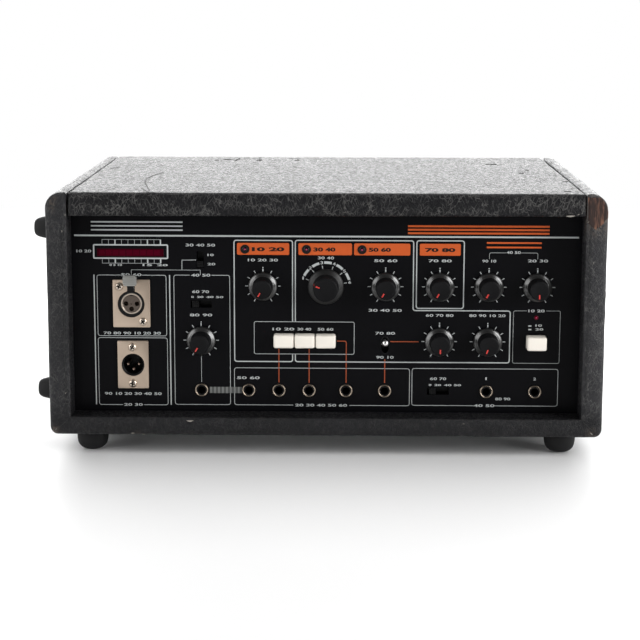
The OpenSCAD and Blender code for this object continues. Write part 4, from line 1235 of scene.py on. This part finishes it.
def line_in_socket():
    """The line input: a black ring, a bright rim and a zinc insert with three sunk contacts."""
    hole = (-155.8, 119.9)
    plate = connector_plate(-155.5, 120.4, 29.9, 38.8, hole, 10.8, keyway=True)
    ring = lathe("ring", [(8.6, -20), (8.6, 0.2), (8.9, 0.9), (9.3, 1.0), (10.3, 1.0), (10.7, 0.6),
                          (10.7, -22), (0.0, -22), (0.0, -20), (8.6, -20)], 72)
    insert = lathe("insert", [
        (0.0, -20), (7.2, -20), (7.2, -0.9), (0.75, -0.9), (0.6, -1.5), (0.0, -1.5)], 72)
    rim = lathe("rim", [
        (7.15, -19), (8.5, -19), (8.5, -0.8), (8.3, -0.5), (7.5, -0.5), (7.15, -0.9), (7.15, -19)], 72)
    contacts, holes = [], []
    for x, y in CONTACTS:
        holes.append(rod("cutter", 1.9, (x * MM, y * MM, -0.014), (x * MM, y * MM, 0.01), 32))
        contact = lathe("contact", [(1.1, -12.5), (1.1, -7.2), (1.3, -7.0), (1.6, -7.0), (1.6, -12.5)], 32)
        contacts.append(dress(moved(contact, at(x, y, 0)), M["contact_pins"]))
    holes.append(block("cutter", (-1.3, 6.3, -3), (1.3, 8.8, 1)))
    carve(insert, *holes)
    parts = [dress(smooth(ring), M["black_print_and_painted_shade"]), dress(smooth(insert, 30), M["insert_zinc"]),
             dress(smooth(rim, 40), M["screw_nickel"])] + contacts
    parts = [plate] + [moved(part, facing(*hole)) for part in parts]
    hang(join("line_in_socket", parts), "cabinet", "champagne", "line_in_connector")


def line_out_socket():
    """The line output: a notched black cup with three pins."""
    hole = (-155.1, 70.2)
    plate = connector_plate(-155, 70.4, 24.9, 39.2, hole, 9.2)
    notch = rod("cutter", 1.6, (5.9 * MM, 5.9 * MM, -0.006), (5.9 * MM, 5.9 * MM, 0.001), 24)
    cup = lathe("cup", [(8.8, 0.0), (9.4, 0.35), (10.4, 0.0), (10.4, -18), (0.0, -18), (0.0, -16), (7.9, -16),
                        (7.9, -0.5), (8.3, -0.1), (8.8, 0.0)], 72)
    dress(smooth(carve(cup, notch), 30), M["black_plastic"])
    cup = moved(cup, facing(*hole))
    hang(join("line_out_socket", [plate, cup]), "cabinet", "champagne", "line_out_connector")
    pin = lathe("pin", [(0.0, -19), (1.0, -19), (1.0, -15.5), (1.2, -15.5), (1.2, -2.8), (1.05, -2.2),
                        (0.7, -1.75), (0.0, -1.6)], 32)
    pins = repeated("line_out_contacts", smooth(pin, 40), [facing(*hole) @ at(x, y, 0) for x, y in CONTACTS])
    hang(dress(pins, M["contact_pins"]), "cabinet", "champagne", "line_out_pins")


def plate_screws():
    """The four screws of the line sockets' plates, each turned its own way."""
    places = [facing(x, z, turn) @ at(0, 0, PLATE) for (x, z), turn in zip(PLATE_SCREWS, (20, 52, 35, 10))]
    screws = repeated("plate_screws", cross_screw(3.25, 1.8), places)
    hang(screws, "cabinet", "champagne", "connector_screws")


def latch_tab():
    """The press latch: a grooved grey tab on a black neck."""
    tab = block("tab", (-5.5, 15.4, 3.4), (5.5, 24.0, 6.0))
    bevel_edges(tab, 1.9, 4, along("z"))
    bevel(tab, 0.35, 2)
    grooves = [block("groove", (-6, 16.8 + i * 1.4, 5.7), (6, 17.2 + i * 1.4, 7)) for i in range(5)]
    dress(smooth(carve(tab, *grooves), 30), M["latch_zinc"])
    neck = dress(bevel(block("neck", (-2.3, 11.3, -7), (2.9, 15.3, 4.4)), 0.5, 2), M["black_plastic"])
    tab = moved(join("latch_tab", [tab, neck]), facing(-156.2, 119.9))
    hang(tab, "latch", "latch_metal", "connector_latch")


# ---- window and lamps ----

def level_window():
    """A dark red window with a row of paler lamp segments in it."""
    half_width, half_height = 26.65, 3.05
    glass = block("glass", (-half_width, -half_height, -4), (half_width, half_height, 0.15))
    dress(bevel(glass, 0.3, 2), M["meter_window"])
    cells = []
    for i in range(9):
        x = -half_width + 3.9 + i * 5.5
        cells.append(bevel(block("cell", (x - 2.3, -2.1, -0.1), (x + 2.3, 2.1, 0.22)), 0.06, 1))
    cell_row = dress(join("cells", cells), M["meter_bar"])
    window = moved(join("level_glass", [glass, cell_row]), facing(-156, 161.5))
    hang(window, "cabinet", "meter_red", "meter_window")


def lamp_lenses():
    """Black-collared lamps: a dark lens with a small pink disc at its middle, a painted highlight; the last
    one is the power lamp.
    """
    lamps = []
    for x, z, r, lens_finish in (
        (-64.5, 164.7, 3.65, "lamp_lens"), (-15.5, 164.7, 3.65, "lamp_lens"),
        (28.7, 164.7, 3.65, "lamp_lens"), (168.1, 110.4, 1.85, "led_lens"),
    ):
        dome = r * (0.55 if lens_finish == "lamp_lens" else 0.94)
        lens = lathe("lens", [(0.0, -9), (dome, -9), (dome, 0.0), (dome * 0.95, 0.35), (dome * 0.7, 0.7),
                              (dome * 0.3, 0.85), (0.0, 0.88)], 40)
        # painted highlight: a small pale pink disc on the lens's crown
        heart = lathe("heart", [(0.0, 0.6), (dome * 0.30, 0.6), (dome * 0.30, 0.90), (dome * 0.15, 0.95),
                                (0.0, 0.96)], 24)
        collar = lathe("collar", [(dome, -2), (r, -2), (r, 0.4), (r * 0.97, 0.55), (dome * 1.06, 0.55),
                                  (dome, 0.3), (dome, -2)], 40)
        parts = [dress(smooth(part), M[finish])
                 for part, finish in ((lens, lens_finish), (collar, "black_print_and_painted_shade"), (heart, "lamp_painted_highlight"))]
        lamps.append(moved(join("lamp", parts), facing(x, z)))
    hang(join("lamp_lenses", lamps), "cabinet", "lamp", "indicator_lamps")


# ---- finishes of the solids that stay as packed ----

CAD_FINISH = {
    "plated_steel": ("lid_studs", "case_screws", "tape_heads", "tape_guides"),
    "batten_wood": ("lid_ledges",),
    "nylon": ("lid_catches",),
    "foot_rubber": ("pinch_roller", "drive_belt"),
    "rear_paint": ("rear_panel",),
    "panel_paint": ("front_panel",),
    "black_plastic": ("mains_inlet", "fuse_cap", "jack_sockets", "tape_chamber", "switch_bodies"),
    "zinc_sheet": ("rotary_controls", "chassis_tray", "deck_plate", "drive_motor", "mains_transformer",
                   "reverb_tank"),
    "clear_cover": ("chamber_cover",),
    "tape_oxide": ("tape_loop",),
    "turned_aluminium": ("capstan_flywheel",),
    "brass": ("pinch_arm", "motor_pulley"),
    "circuit_board": ("main_board",),
}


def finish_solids():
    for finish, names in CAD_FINISH.items():
        for name in names:
            dress(NODES[name], M[finish])


# ---- camera, floor and light ----

IMAGE = 640
CAMERA_AT = (0.01754, -1.39048, 0.36330)
FOCAL_PX, SHIFT_PX = 1612.6, -60      # for an image of IMAGE pixels
SENSOR = 36
PITCH, YAW, ROLL = 9.284, -1.007, 0.117
FLOOR_SIZE, FLOOR_LEVEL = 5, -0.0003
WHITE_FROM, WHITE_TO = 0.8, 1.5       # how far out the floor begins and ends its turn to white
WORLD_LEVEL, SHINE_LEVEL = 0.215, 0.18
LAMPS = [  # name, place, aim, size, power
    ("top_softbox", (0.0, 0.8, 1.9), (0, 0.8, 0.0), (3.0, 1.8), 41),
    ("back_softbox", (0.0, 3.0, 0.8), (0, 0, 0.2), (5.0, 1.4), 116),
    ("left_softbox", (-1.6, -0.9, 0.75), (0, -0.12, 0.1), (1.1, 1.5), 20),
    ("right_softbox", (1.6, -0.9, 0.75), (0, -0.12, 0.1), (0.7, 1.4), 33),
]


def set_camera():
    data = bpy.data.cameras.new("camera")
    data.sensor_width = SENSOR
    data.lens = FOCAL_PX * SENSOR / IMAGE
    data.shift_y = SHIFT_PX / IMAGE
    camera = bpy.data.objects.new("camera", data)
    bpy.context.scene.collection.objects.link(camera)
    p, y, r = (math.radians(v) for v in (PITCH, YAW, ROLL))
    forward = Vector((math.sin(y) * math.cos(p), math.cos(y) * math.cos(p), -math.sin(p)))
    level = Vector((math.cos(y), -math.sin(y), 0))
    up = level.cross(forward)
    right = level * math.cos(r) + up * math.sin(r)
    up = right.cross(forward)
    camera.matrix_world = Matrix((
        (right.x, up.x, -forward.x, CAMERA_AT[0]), (right.y, up.y, -forward.y, CAMERA_AT[1]),
        (right.z, up.z, -forward.z, CAMERA_AT[2]), (0, 0, 0, 1)))
    bpy.context.scene.camera = camera


def floor_sheet():
    """A pale floor that keeps the object's shadow and runs out to plain white for the camera."""
    deselect()
    bpy.ops.mesh.primitive_plane_add(size=FLOOR_SIZE, location=(0, 0, FLOOR_LEVEL))
    floor = bpy.context.object
    floor.name = "floor"
    f = Finish("floor_white", (0.86, 0.86, 0.86), 0.4, specular=0.15)
    f.roughness(f.noise(3), 0.36, 0.44)
    away = f.node("VectorMath", {0: f.place}, operation="LENGTH").outputs["Value"]
    outer = f.node("MapRange", {"Value": away, "From Min": WHITE_FROM, "From Max": WHITE_TO},
                   interpolation_type="SMOOTHSTEP").outputs[0]
    seen = f.node("LightPath", {}).outputs["Is Camera Ray"]
    white = f.node("Emission", {"Color": (1.0, 1.0, 1.0), "Strength": 1.0}).outputs[0]
    shown = f.node("MixShader", {0: f.times(outer, seen), 1: f.shader.outputs[0], 2: white})
    f.feed(f.tree.nodes["Material Output"].inputs["Surface"], shown.outputs[0])
    dress(floor, f.material)


def white_surround():
    """White where the camera or the clear cover looks past the object; softer as a light and in a shine."""
    world = bpy.data.worlds.new("studio")
    bpy.context.scene.world = world
    world.use_nodes = True
    tree = world.node_tree
    background = tree.nodes["Background"]
    background.inputs["Color"].default_value = (1, 1, 1, 1)
    path = tree.nodes.new("ShaderNodeLightPath")
    level = None
    for ray, value in (("Is Glossy Ray", SHINE_LEVEL), ("Is Camera Ray", 1.0), ("Is Transmission Ray", 1.0)):
        change = tree.nodes.new("ShaderNodeMix")
        change.inputs["A"].default_value = WORLD_LEVEL
        change.inputs["B"].default_value = value
        tree.links.new(path.outputs[ray], change.inputs["Factor"])
        if level:
            tree.links.new(level, change.inputs["A"])
        level = change.outputs["Result"]
    tree.links.new(level, background.inputs["Strength"])


def studio_lamps():
    for name, place, aim, size, power in LAMPS:
        data = bpy.data.lights.new(name, "AREA")
        data.shape = "RECTANGLE"
        data.size, data.size_y = size
        data.energy = power
        lamp = bpy.data.objects.new(name, data)
        lamp.location = place
        lamp.rotation_mode = "QUATERNION"
        lamp.rotation_quaternion = (Vector(aim) - Vector(place)).to_track_quat("-Z", "Y")
        lamp.visible_camera = False
        bpy.context.scene.collection.objects.link(lamp)


# ---- the whole unit ----

cabinet_shell()
lid_board()
lid_marks()
frayed_corner()
torn_places()
mitre_seams()
rubber_feet()
carrying_strap()
panel_printing()
for knob_name, knob_place in KNOBS.items():
    turned_knob(knob_name, *knob_place)
push_keys()
toggle()
slide_switches()
jack_rings()
line_in_socket()
line_out_socket()
plate_screws()
latch_tab()
level_window()
lamp_lenses()
finish_solids()

set_camera()
floor_sheet()
white_surround()
studio_lamps()
bpy.context.scene.view_settings.view_transform = "Standard"
